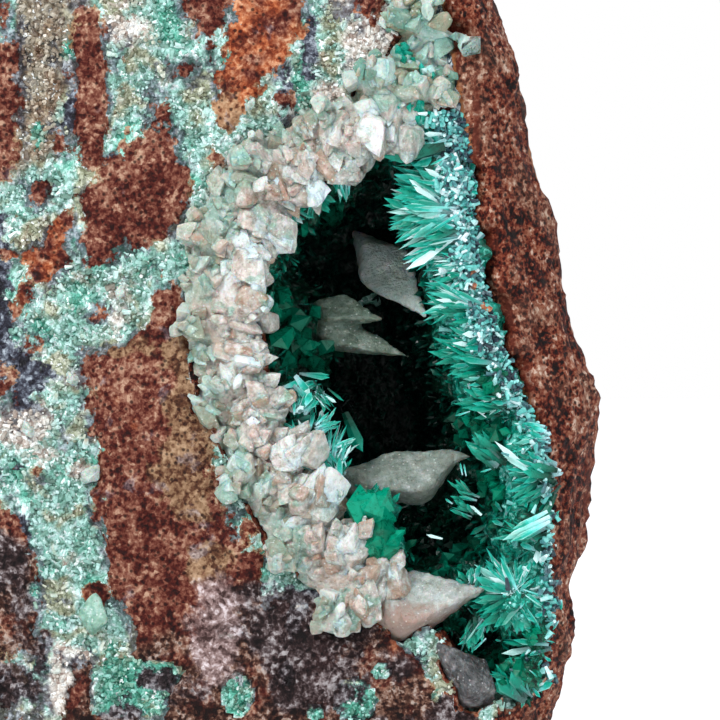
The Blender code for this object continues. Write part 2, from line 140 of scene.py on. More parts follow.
def roughNoise(places, size, seed, layers=3):
    total = np.zeros(len(places))
    for layer in range(layers):
        total += softNoise(places, size / 2 ** layer, seed + layer) / 2 ** layer
    return total / 1.6


def asSeen(places):
    # Where places show in the camera's view, as x and z at the depth of the outlines.
    cameraX, cameraY, cameraZ = view["camera"]
    nearer = (view["planeY"] - cameraY) / (places[:, 1] - cameraY)
    return np.stack([
        cameraX + (places[:, 0] - cameraX) * nearer,
        cameraZ + (places[:, 2] - cameraZ) * nearer,
    ], axis=1)


def outlineDistance(seen, outline):
    # Distance to a closed outline, below zero inside it.
    corners = np.array(outline, float)
    nearest = np.full(len(seen), 1e9)
    inside = np.zeros(len(seen), bool)
    for a, b in zip(corners, np.roll(corners, -1, axis=0)):
        along = b - a
        share = np.clip(((seen - a) @ along) / (along @ along), 0, 1)
        nearest = np.minimum(nearest, np.linalg.norm(seen - a - share[:, None] * along, axis=1))
        crosses = (a[1] > seen[:, 1]) != (b[1] > seen[:, 1])
        rise = along[1] if along[1] else 1e-9
        inside ^= crosses & (seen[:, 0] < a[0] + (seen[:, 1] - a[1]) * along[0] / rise)
    return np.where(inside, -nearest, nearest)


def spotDistance(seen, spot):
    # Distance to an upright oval: x, z, half width, half height.
    x, z, wide, high = spot
    away = np.hypot((seen[:, 0] - x) / wide, (seen[:, 1] - z) / high)
    return (away - 1) * min(wide, high)


def smoothStep(low, high, value):
    share = np.clip((value - low) / (high - low), 0, 1)
    return share * share * (3 - 2 * share)


# Helpers: nodes

def shade(red, green, blue):
    # A colour given as on a screen, 0 to 255, as Blender's linear values.
    parts = []
    for part in (red, green, blue):
        part /= 255
        parts.append(part / 12.92 if part <= 0.04045 else ((part + 0.055) / 1.055) ** 2.4)
    return (*parts, 1.0)


def addNode(tree, kind, inputs=None, **settings):
    node = tree.nodes.new("ShaderNode" + kind)
    for key, value in settings.items():
        setattr(node, key, value)
    for key, value in (inputs or {}).items():
        if isinstance(value, bpy.types.NodeSocket):
            tree.links.new(value, node.inputs[key])
        else:
            node.inputs[key].default_value = value
    return node


def compute(tree, operation, a, b=0.0, clamp=False):
    return addNode(tree, "Math", {0: a, 1: b}, operation=operation, use_clamp=clamp).outputs[0]


def mixColours(tree, factor, a, b, blend="MIX"):
    node = addNode(tree, "Mix", data_type="RGBA", blend_type=blend, clamp_factor=True)
    for key, value in ((0, factor), (6, a), (7, b)):
        if isinstance(value, bpy.types.NodeSocket):
            tree.links.new(value, node.inputs[key])
        else:
            node.inputs[key].default_value = value
    return node.outputs[2]


def colourRamp(tree, factor, stops, smooth=True):
    node = addNode(tree, "ValToRGB", {0: factor})
    ramp = node.color_ramp
    ramp.interpolation = "LINEAR" if smooth else "CONSTANT"
    while len(ramp.elements) < len(stops):
        ramp.elements.new(0.5)
    for element, (place, colour) in zip(ramp.elements, stops):
        element.position = place
    for element, (place, colour) in zip(ramp.elements, stops):
        element.color = colour
    return node.outputs[0]


def between(tree, value, low, high):
    # 0 at low, 1 at high, smooth between.
    node = addNode(tree, "MapRange", {0: value, 1: low, 2: high, 3: 0.0, 4: 1.0}, clamp=True)
    node.interpolation_type = "SMOOTHSTEP"
    return node.outputs[0]


def attributeOf(tree, name):
    return addNode(tree, "Attribute", attribute_name=name).outputs["Fac"]


def millimetres(tree):
    # Object coordinates in millimetres.
    place = addNode(tree, "TexCoord").outputs["Object"]
    return addNode(tree, "VectorMath", {0: place, "Scale": 1000.0}, operation="SCALE").outputs[0]


def noiseAt(tree, place, size, detail=2.0, rough=0.55, warp=0.0):
    return addNode(tree, "TexNoise", {
        "Vector": place, "Scale": 1.0 / size, "Detail": detail, "Roughness": rough,
        "Distortion": warp,
    }).outputs["Fac"]


def cellsAt(tree, place, size, feature="F1"):
    inputs = {"Vector": place, "Scale": 1.0 / size}
    return addNode(tree, "TexVoronoi", inputs, feature=feature)


def newMaterial(name, **fixed):
    # A Principled material: its fixed values are set on the shader's own sockets.
    made = bpy.data.materials.new(name)
    made.use_nodes = True
    shader = made.node_tree.nodes["Principled BSDF"]
    for key, value in fixed.items():
        shader.inputs[key.replace("_", " ")].default_value = value
    return made, made.node_tree, shader


def newGroup(name, inputs, outputs):
    group = bpy.data.node_groups.new(name, "ShaderNodeTree")
    for socketName, kind, value in inputs:
        socket = group.interface.new_socket(socketName, in_out="INPUT", socket_type=kind)
        if value is not None:
            socket.default_value = value
    for socketName, kind in outputs:
        group.interface.new_socket(socketName, in_out="OUTPUT", socket_type=kind)
    entry = group.nodes.new("NodeGroupInput")
    leave = group.nodes.new("NodeGroupOutput")
    return group, entry.outputs, leave.inputs


def useGroup(tree, group, **inputs):
    node = tree.nodes.new("ShaderNodeGroup")
    node.node_tree = group
    for key, value in inputs.items():
        if isinstance(value, bpy.types.NodeSocket):
            tree.links.new(value, node.inputs[key])
        else:
            node.inputs[key].default_value = value
    return node.outputs


# Shared effects

def makeGrainGroup():
    # Crystal grains: a shade and a sparkle mask for each grain (rare grains that the stone paints near white
    # as painted glints), its domed height, and a facet that leans its own way.
    group, given, made = newGroup(
        "crystalGrains",
        [("Size", "NodeSocketFloat", 0.5), ("Lean", "NodeSocketFloat", 0.6)],
        [("Shade", "NodeSocketFloat"), ("Sparkle", "NodeSocketFloat"),
         ("Height", "NodeSocketFloat"), ("Facet", "NodeSocketVector")],
    )
    place = millimetres(group)
    bent = addNode(group, "TexNoise", {"Vector": place, "Scale": 1.3, "Detail": 3.0}).outputs["Color"]
    moved = addNode(group, "VectorMath", {0: bent, 1: (-0.5, -0.5, -0.5)}, operation="ADD")
    moved = addNode(group, "VectorMath", {0: moved.outputs[0], "Scale": 0.9}, operation="SCALE")
    place = addNode(group, "VectorMath", {0: place, 1: moved.outputs[0]}, operation="ADD").outputs[0]
    finer = compute(group, "DIVIDE", 1.0, given["Size"])
    coarse = addNode(group, "TexVoronoi", {"Vector": place, "Scale": finer})
    fine = addNode(group, "TexVoronoi", {
        "Vector": place, "Scale": compute(group, "MULTIPLY", finer, 2.3)})
    parts = addNode(group, "SeparateColor", {0: coarse.outputs["Color"]}).outputs
    fineParts = addNode(group, "SeparateColor", {0: fine.outputs["Color"]}).outputs
    shadeMix = compute(group, "MULTIPLY", fineParts[0], 0.45)
    shadeMix = compute(group, "ADD", shadeMix, compute(group, "MULTIPLY", parts[0], 0.55))
    group.links.new(shadeMix, made["Shade"])
    group.links.new(compute(group, "GREATER_THAN", fineParts[1], 0.93), made["Sparkle"])
    height = compute(group, "SUBTRACT", 1.0, coarse.outputs["Distance"])
    height = compute(group, "ADD", height, compute(
        group, "MULTIPLY", compute(group, "SUBTRACT", 1.0, fine.outputs["Distance"]), 0.4))
    group.links.new(height, made["Height"])
    lean = addNode(group, "VectorMath", {
        0: coarse.outputs["Color"], 1: fine.outputs["Color"]}, operation="ADD").outputs[0]
    lean = addNode(group, "VectorMath", {0: lean, 1: (-1.0, -1.0, -1.0)}, operation="ADD").outputs[0]
    lean = addNode(group, "VectorMath", {0: lean, "Scale": given["Lean"]}, operation="SCALE").outputs[0]
    normal = addNode(group, "NewGeometry").outputs["Normal"]
    facet = addNode(group, "VectorMath", {0: normal, 1: lean}, operation="ADD").outputs[0]
    facet = addNode(group, "VectorMath", {0: facet}, operation="NORMALIZE").outputs[0]
    group.links.new(facet, made["Facet"])
    return group


def makeMottleGroup():
    # The speckle of iron-rich rock: a fine dark and light mottling with pits.
    group, given, made = newGroup(
        "rockMottle",
        [("Size", "NodeSocketFloat", 0.45), ("Stretch", "NodeSocketFloat", 1.0),
         ("Depth", "NodeSocketFloat", 1.0)],
        [("Shade", "NodeSocketFloat"), ("Height", "NodeSocketFloat"), ("Pits", "NodeSocketFloat")],
    )
    place = millimetres(group)
    squeeze = addNode(group, "CombineXYZ", {0: 1.0, 1: given["Depth"], 2: given["Stretch"]}).outputs[0]
    place = addNode(group, "VectorMath", {0: place, 1: squeeze}, operation="MULTIPLY").outputs[0]
    finer = compute(group, "DIVIDE", 1.0, given["Size"])
    near = addNode(group, "TexNoise", {
        "Vector": place, "Scale": finer, "Detail": 3.0, "Roughness": 0.62})
    broad = addNode(group, "TexNoise", {
        "Vector": place, "Scale": compute(group, "MULTIPLY", finer, 0.22), "Detail": 2.0})
    nearFac, broadFac = near.outputs["Fac"], broad.outputs["Fac"]
    both = compute(group, "ADD", compute(group, "MULTIPLY", nearFac, 0.58),
                   compute(group, "MULTIPLY", broadFac, 0.42))
    cells = addNode(group, "TexVoronoi", {
        "Vector": place, "Scale": compute(group, "MULTIPLY", finer, 1.15)})
    grain = addNode(group, "SeparateColor", {0: cells.outputs["Color"]}).outputs[0]
    spread = compute(group, "ADD", compute(group, "MULTIPLY", between(group, both, 0.32, 0.68), 0.66),
                     compute(group, "MULTIPLY", grain, 0.34))
    group.links.new(spread, made["Shade"])
    group.links.new(nearFac, made["Height"])
    pits = addNode(group, "TexVoronoi", {
        "Vector": place, "Scale": compute(group, "MULTIPLY", finer, 0.75)})
    group.links.new(between(group, pits.outputs["Distance"], 0.34, 0.16), made["Pits"])
    return group


grainGroup = makeGrainGroup()
mottleGroup = makeMottleGroup()

# The stone

stoneLook = {
    "voxel": 0.639,  # mesh size, halved where the camera sees the front
    "clastRise": 0.42,  # how far brown pieces stand out of the vein stuff
    "grainRelief": 0.20,
    "roughRelief": 0.34,
}

# Brown pieces, as outlines (x, z) in the view, with their colour: 0 dark red, 1 orange.
brownPieces = {
    "topPiece": (0.62, [
        (5.0, 82.4), (11.6, 83.2), (10.6, 76.0), (9.2, 71.2), (8.8, 68.8), (8.0, 66.8),
        (6.4, 65.2), (4.8, 62.8), (3.4, 60.8), (2.0, 61.2), (2.0, 64.0), (2.8, 66.4),
        (3.0, 68.8), (4.0, 71.2), (4.5, 76.0)]),
    "middlePiece": (0.22, [
        (-2.2, 62.2), (-1.4, 60.8), (-1.0, 58.4), (0.0, 57.6), (0.4, 56.0), (-0.8, 54.0),
        (-1.4, 52.2), (-3.2, 51.8), (-5.2, 51.8), (-6.4, 50.4), (-8.4, 50.2), (-9.0, 52.4),
        (-8.8, 55.2), (-7.2, 57.6), (-4.8, 59.6), (-3.2, 61.2)]),
    "leftSliver": (0.55, [
        (-9.2, 55.2), (-9.4, 53.2), (-10.2, 51.2), (-11.2, 48.8), (-12.8, 47.2),
        (-14.0, 45.6), (-14.4, 46.8), (-13.6, 48.0), (-12.8, 49.6), (-11.6, 51.6),
        (-10.4, 54.0)]),
    "largePiece": (0.3, [
        (-2.8, 48.0), (-1.6, 48.4), (-0.4, 47.2), (0.0, 44.8), (0.4, 42.4), (1.2, 37.6),
        (1.6, 35.2), (2.0, 32.8), (3.6, 28.8), (4.4, 25.6), (6.0, 23.2), (8.8, 13.6),
        (8.8, -0.8), (-3.2, -0.8), (-2.4, 13.6), (-3.2, 16.8), (-4.8, 20.8), (-6.4, 24.8),
        (-6.8, 28.8), (-7.2, 33.6), (-8.0, 39.2), (-8.2, 42.8), (-5.2, 43.6), (-3.2, 45.2)]),
    "topStreak": (0.25, [
        (-9.4, 70.4), (-7.2, 70.0), (-6.9, 66.4), (-6.6, 61.6), (-6.9, 59.2), (-8.0, 60.0),
        (-8.8, 64.0), (-9.3, 67.2)]),
    "leftStreak": (0.2, [
        (-20.0, 69.6), (-14.1, 68.0), (-13.6, 64.0), (-13.6, 59.2), (-14.4, 56.8),
        (-19.2, 56.0)]),
    "lowLeft": (0.4, [
        (-16.6, 30.8), (-14.4, 30.4), (-12.4, 25.6), (-11.8, 21.0), (-16.6, 19.8)]),
    "topMiddle": (0.45, [
        (0.2, 71.0), (0.8, 76.0), (2.6, 76.0), (3.2, 70.6), (2.4, 68.0), (1.2, 66.4), (0.6, 68.4)]),
    "smallPiece": (0.35, [
        (5.0, 30.6), (6.4, 31.2), (5.6, 29.0), (4.8, 27.2), (4.0, 27.6), (4.2, 29.6)]),
}
darkPieces = [  # charcoal and dark lilac patches
    [(-18.4, 55.2), (-14.6, 54.0), (-14.2, 47.2), (-14.6, 44.0), (-12.8, 43.0), (-11.0, 42.4),
     (-10.2, 41.2), (-11.6, 40.6), (-12.4, 39.6), (-13.0, 38.2), (-14.0, 38.4), (-14.4, 39.8),
     (-16.0, 40.8), (-20.0, 40.0), (-20.0, 54.4)],
]
darkSpots = [
    (-9.0, 62.4, 1.2, 1.5), (-6.0, 57.6, 1.1, 1.5), (-0.8, 56.8, 0.7, 1.6),
    (-13.4, 27.0, 0.5, 4.6), (0.6, 44.0, 0.5, 3.2), (1.2, 40.4, 0.6, 2.4), (-1.0, 46.6, 0.7, 0.5),
    (1.8, 47.6, 0.6, 0.5), (7.6, 63.6, 0.6, 2.4), (9.6, 67.6, 0.6, 2.2),
    (7.4, 18.6, 2.0, 1.9), (12.4, 20.6, 2.6, 1.4), (16.8, 17.8, 1.6, 1.2), (-3.0, 17.0, 1.6, 1.0),
    (4.6, 23.8, 3.6, 0.8), (9.4, 23.4, 3.0, 0.7), (0.4, 15.6, 1.6, 0.9),
]
ochreOutline = [
    (-2.0, 44.0), (-0.4, 44.8), (0.4, 42.4), (0.8, 39.2), (1.8, 36.0), (1.2, 33.6),
    (2.0, 29.6), (-0.4, 30.0), (-2.4, 31.2), (-3.2, 33.6), (-2.0, 36.0), (-2.4, 39.2),
    (-1.6, 41.6)]
ochreSpots = [(3.0, 62.4, 1.3, 1.9), (1.6, 26.4, 1.8, 1.6), (-5.8, 43.2, 1.4, 0.6)]
paleSpots = [  # whitish and pinkish patches in the vein stuff
    (-5.6, 68.8, 2.4, 1.2), (-13.2, 37.2, 2.2, 2.0), (-8.8, 33.6, 0.8, 0.8),
    (-5.8, 47.8, 0.9, 0.7), (-9.0, 40.8, 0.8, 0.5), (1.9, 20.4, 2.3, 4.4), (2.4, 50.6, 1.6, 6.4),
    (3.6, 43.0, 1.6, 4.0), (7.0, 35.4, 2.4, 4.6), (9.0, 28.8, 2.6, 3.0), (6.0, 58.0, 3.0, 1.8),
    (10.8, 62.0, 3.2, 2.6), (14.8, 66.4, 2.8, 4.6), (13.2, 73.2, 2.6, 3.4), (-12.0, 34.8, 1.2, 0.7),
    (9.0, 19.8, 1.3, 1.7),
]
greenSpots = [
    (-1.6, 69.6, 1.2, 1.6), (-11.8, 44.6, 0.7, 1.1), (-8.0, 30.4, 0.5, 0.45), (18.6, 66.8, 1.0, 1.6),
    (3.6, 40.0, 0.7, 0.6), (16.4, 62.6, 1.4, 1.1), (-9.0, 47.6, 1.6, 0.9), (-14.0, 33.4, 0.8, 0.9),
    (13.2, 15.2, 1.9, 1.9), (7.8, 17.4, 0.7, 1.1), (19.8, 15.6, 0.5, 0.7), (-5.4, 15.0, 1.2, 0.8),
    (3.8, 15.6, 1.5, 1.9), (10.0, 14.2, 0.8, 0.8),
]
flankLine = [  # the right edge of the vug's side of the stone: beyond it lies plain rock
    (19.0, 110.0), (19.0, 84.0), (20.0, 71.2), (21.2, 64.8), (22.2, 59.2), (22.7, 53.6),
    (23.4, 48.0), (25.2, 42.4), (28.4, 36.0), (29.8, 30.4), (29.1, 24.0), (30.1, 20.0),
    (29.3, 16.0), (28.4, 12.0), (27.0, 4.0), (26.0, -20.0), (90.0, -20.0), (90.0, 110.0)]
bottomOutline = [  # below the vug and the veins: a patchwork of everything
    (-30.0, 33.0), (-21.6, 31.2), (-15.2, 29.0), (-12.4, 26.8), (-11.6, 21.6), (-9.6, 19.2),
    (-6.4, 18.8), (-3.2, 20.0), (4.4, 24.8), (8.8, 24.0), (11.2, 23.2), (14.6, 22.0),
    (19.2, 16.8), (23.2, 14.0), (29.6, 14.0), (60.0, 10.0), (60.0, -20.0), (-60.0, -20.0),
    (-60.0, 33.0)]


def brokenRock(places, spacing, stretch, seed):
    # Rock broken in pieces: distance to the nearest crack, and a number for each piece.
    dice = np.random.default_rng(seed)
    squeezed = places / np.array([1.0, 1.0, stretch])
    low, high = squeezed.min(axis=0) - spacing, squeezed.max(axis=0) + spacing
    counts = np.maximum(1, ((high - low) / spacing).astype(int))
    grid = np.stack(np.meshgrid(*[np.arange(n) for n in counts], indexing="ij"), -1).reshape(-1, 3)
    seeds = low + (grid + dice.uniform(0.05, 0.95, grid.shape)) * spacing
    numbers = dice.uniform(0, 1, len(seeds))
    crack = np.empty(len(places))
    number = np.empty(len(places))
    for start in range(0, len(places), 20000):
        part = squeezed[start:start + 20000]
        away = np.linalg.norm(part[:, None] - seeds[None], axis=2)
        nearest = np.argpartition(away, 1, axis=1)[:, :2]
        pair = np.take_along_axis(away, nearest, axis=1)
        pair.sort(axis=1)
        crack[start:start + 20000] = (pair[:, 1] - pair[:, 0]) / 2
        number[start:start + 20000] = numbers[away.argmin(axis=1)]
    return crack, number


def stoneFields(places, normals):
    # For every place on the stone, the distance (mm) to each kind of patch, below zero in it.
    seen = asSeen(places)
    warp = np.stack([softNoise(places, 6.0, 50 + k) for k in range(3)], axis=1) * 1.6

    crack, number = brokenRock(places + warp, 9.0, 1.9, 3)
    veinWidth = 0.55 + 2.1 * smoothStep(-0.1, 0.8, softNoise(places, 22.0, 5))
    brown = veinWidth - crack
    tone = 0.1 + 0.5 * number
    dark = 1.5 - 4.0 * np.abs(softNoise(places, 12.0, 6) + 0.55)
    dark = -dark
    pale = 1.0 - 2.6 * softNoise(places, 7.0, 7)
    green = 1.6 - 3.0 * softNoise(places, 5.0, 8)
    ochre = 0.8 - 3.0 * softNoise(places, 9.0, 9)

    facing = smoothStep(0.10, 0.45, -normals[:, 1])
    inFrame = np.minimum.reduce([
        smoothStep(-20.0, -15.5, seen[:, 0]), smoothStep(77.0, 72.0, seen[:, 1]),
        smoothStep(1.0, 8.0, seen[:, 1])])
    inView = facing * inFrame

    shownBrown = np.full(len(places), 9.0)
    shownTone = tone.copy()
    for pieceTone, outline in brownPieces.values():
        distance = outlineDistance(seen, outline)
        shownTone = np.where(distance < np.minimum(shownBrown, 0.8), pieceTone, shownTone)
        shownBrown = np.minimum(shownBrown, distance)
    topLeft = np.maximum(smoothStep(-3.0, -8.0, seen[:, 0]), smoothStep(70.0, 74.0, seen[:, 1]))
    topLeft *= smoothStep(55.0, 58.0, seen[:, 1])
    streaks = 0.5 + 3.4 * softNoise(places * np.array([1.0, 1.0, 0.22]), 2.6, 21)
    shownBrown = np.minimum(shownBrown, streaks + 4.0 * (1 - topLeft))
    bottom = outlineDistance(seen, bottomOutline)
    patches = -0.9 + 3.0 * roughNoise(places * np.array([1.0, 1.0, 0.6]), 5.0, 31)
    shownBrown = np.minimum(shownBrown, patches + 3.0 * smoothStep(-0.8, 0.8, bottom))
    lens = spotDistance(seen, (2.2, 20.6, 1.9, 4.2))
    crumbs = 1.15 + 2.2 * softNoise(places, 2.4, 27)  # small brown bits in the vein stuff
    shownBrown = np.minimum(shownBrown, crumbs)

    shownDark = np.full(len(places), 9.0)
    for outline in darkPieces:
        shownDark = np.minimum(shownDark, outlineDistance(seen, outline))
    for spot in darkSpots:
        shownDark = np.minimum(shownDark, spotDistance(seen, spot))
    shownDark = np.minimum(shownDark, 0.55 + 3.0 * softNoise(places, 4.4, 33)
                           + 3.0 * smoothStep(-0.8, 0.8, bottom))
    shownOchre = outlineDistance(seen, ochreOutline)
    for spot in ochreSpots:
        shownOchre = np.minimum(shownOchre, spotDistance(seen, spot))
    shownPale = np.full(len(places), 9.0)
    for spot in paleSpots:
        shownPale = np.minimum(shownPale, spotDistance(seen, spot))
    shownPale = np.minimum(shownPale, 0.9 + 3.2 * softNoise(places, 3.6, 35)
                           + 2.0 * smoothStep(-0.8, 0.8, bottom))
    shownGreen = np.full(len(places), 9.0)
    for spot in greenSpots:
        shownGreen = np.minimum(shownGreen, spotDistance(seen, spot))
    shownGreen = np.minimum(shownGreen, 2.7 + 4.0 * softNoise(places, 3.0, 37))

    shownBrown = np.where((bottom < 0) & (shownGreen < 0), np.maximum(shownBrown, 0.3 - shownGreen), shownBrown)

    def blend(hidden, shown):
        return hidden + (np.clip(shown, -6, 6) - hidden) * inView

    flank = outlineDistance(seen, flankLine)
    side = smoothStep(0.25, 0.7, normals[:, 0]) * smoothStep(-6.0, -12.0, places[:, 1])
    flank = np.where(places[:, 1] > 4.0, 6.0, flank) * (1 - side) - 6.0 * side
    flank = np.maximum(flank, (places[:, 1] + 6.0) * 0.5 + 3.0 * softNoise(places, 8.0, 41))
    return {
        "brown": blend(brown, shownBrown),
        "tone": tone + (shownTone - tone) * inView,
        "dark": blend(dark, shownDark),
        "ochre": blend(ochre, shownOchre),
        "pale": blend(pale, shownPale),
        "green": blend(green, shownGreen),
        "flank": flank,
        "bottom": blend(np.full(len(places), 3.0), bottom),
        "lens": blend(np.full(len(places), 3.0), lens),
    }


def rustShare(places):
    # Where the vein stuff is rusty: the upper left corner and a strip by the ochre patch.
    seen = asSeen(places)
    corner = smoothStep(-6.0, -10.0, seen[:, 0]) * smoothStep(54.0, 60.0, seen[:, 1])
    strip = smoothStep(3.0, 1.0, np.abs(seen[:, 0] - 1.6)) * smoothStep(62.0, 65.0, seen[:, 1])
    patchy = smoothStep(0.15, 0.6, softNoise(places * np.array([1.0, 1.0, 0.4]), 3.0, 67) + 0.5)
    return patchy * np.maximum(corner, strip)


def frontFaces(obj):
    # The faces that the camera sees well enough to need the finer mesh.
    centres = np.empty(len(obj.data.polygons) * 3)
    normals = np.empty(len(obj.data.polygons) * 3)
    obj.data.polygons.foreach_get("center", centres)
    obj.data.polygons.foreach_get("normal", normals)
    centres, normals = centres.reshape(-1, 3) / mm, normals.reshape(-1, 3)
    seen = asSeen(centres)
    near = (seen[:, 0] > -16.5) & (seen[:, 1] > 12.0) & (seen[:, 1] < 73.0)
    outside = centres[:, 1] < -12.0
    return near & outside & ((normals[:, 1] < -0.25) | (normals[:, 0] > 0.75))


def buildStone():
    print("stone: mesh")
    stone = copyOfNode("matrix", "stoneBlock")
    applyModifier(stone, "REMESH", "evenMesh", mode="VOXEL", voxel_size=stoneLook["voxel"] * mm)
    activate(stone)
    picked = frontFaces(stone)
    stone.data.polygons.foreach_set("select", picked)
    stone.data.edges.foreach_set("select", np.zeros(len(stone.data.edges), bool))
    stone.data.vertices.foreach_set("select", np.zeros(len(stone.data.vertices), bool))
    bpy.ops.object.mode_set(mode="EDIT")
    bpy.ops.mesh.select_mode(type="FACE")
    bpy.ops.object.mode_set(mode="OBJECT")
    stone.data.polygons.foreach_set("select", picked)
    bpy.ops.object.mode_set(mode="EDIT")
    bpy.ops.mesh.subdivide(number_cuts=1, smoothness=0.0)
    bpy.ops.mesh.select_all(action="DESELECT")
    bpy.ops.object.mode_set(mode="OBJECT")
    applyModifier(stone, "SMOOTH", "soften", factor=0.5, iterations=2)

    print("stone: relief", len(stone.data.vertices), "vertices")
    places, normals = placesOf(stone), normalsOf(stone)
    fields = stoneFields(places, normals)
    wobble = 0.5 * roughNoise(places, 1.4, 60)
    brown = smoothStep(0.25, -0.25, np.minimum(fields["brown"], fields["flank"]) + wobble)
    outside = smoothStep(-2.0, 1.5, -asDepth(places))
    grains = np.abs(softNoise(places, 0.85, 61)) + 0.6 * np.abs(softNoise(places, 0.5, 62))
    layered = softNoise(places * np.array([1.0, 1.0, 0.3]), 1.1, 63)
    setAttribute(stone, "rust", rustShare(places))
    rise = stoneLook["clastRise"] * (brown - 0.5)
    rise += stoneLook["roughRelief"] * roughNoise(places, 3.6, 64)
    rise += (1 - brown) * stoneLook["grainRelief"] * (grains - 0.55) * 1.6
    rise += brown * 0.14 * layered + brown * 0.10 * softNoise(places, 0.6, 65)
    plain = smoothStep(0.4, -0.6, fields["flank"])
    outside = np.maximum(outside, plain)
    rise += plain * (0.42 * roughNoise(places, 1.3, 68) + 0.12)
    low = smoothStep(0.2, 3.0, places[:, 2])  # the base stays flat
    setPlaces(stone, places + normals * (rise * low * (0.35 + 0.65 * outside))[:, None])
    for name, values in fields.items():
        setAttribute(stone, name, values)
    activate(stone)
    bpy.ops.object.shade_smooth()
    return stone


def asDepth(places):
    # How deep behind the broken front a place lies.
    return places[:, 1] + 21.0 + 0.07 * (places[:, 0] - 6.0) - 0.02 * (places[:, 2] - 40.0)


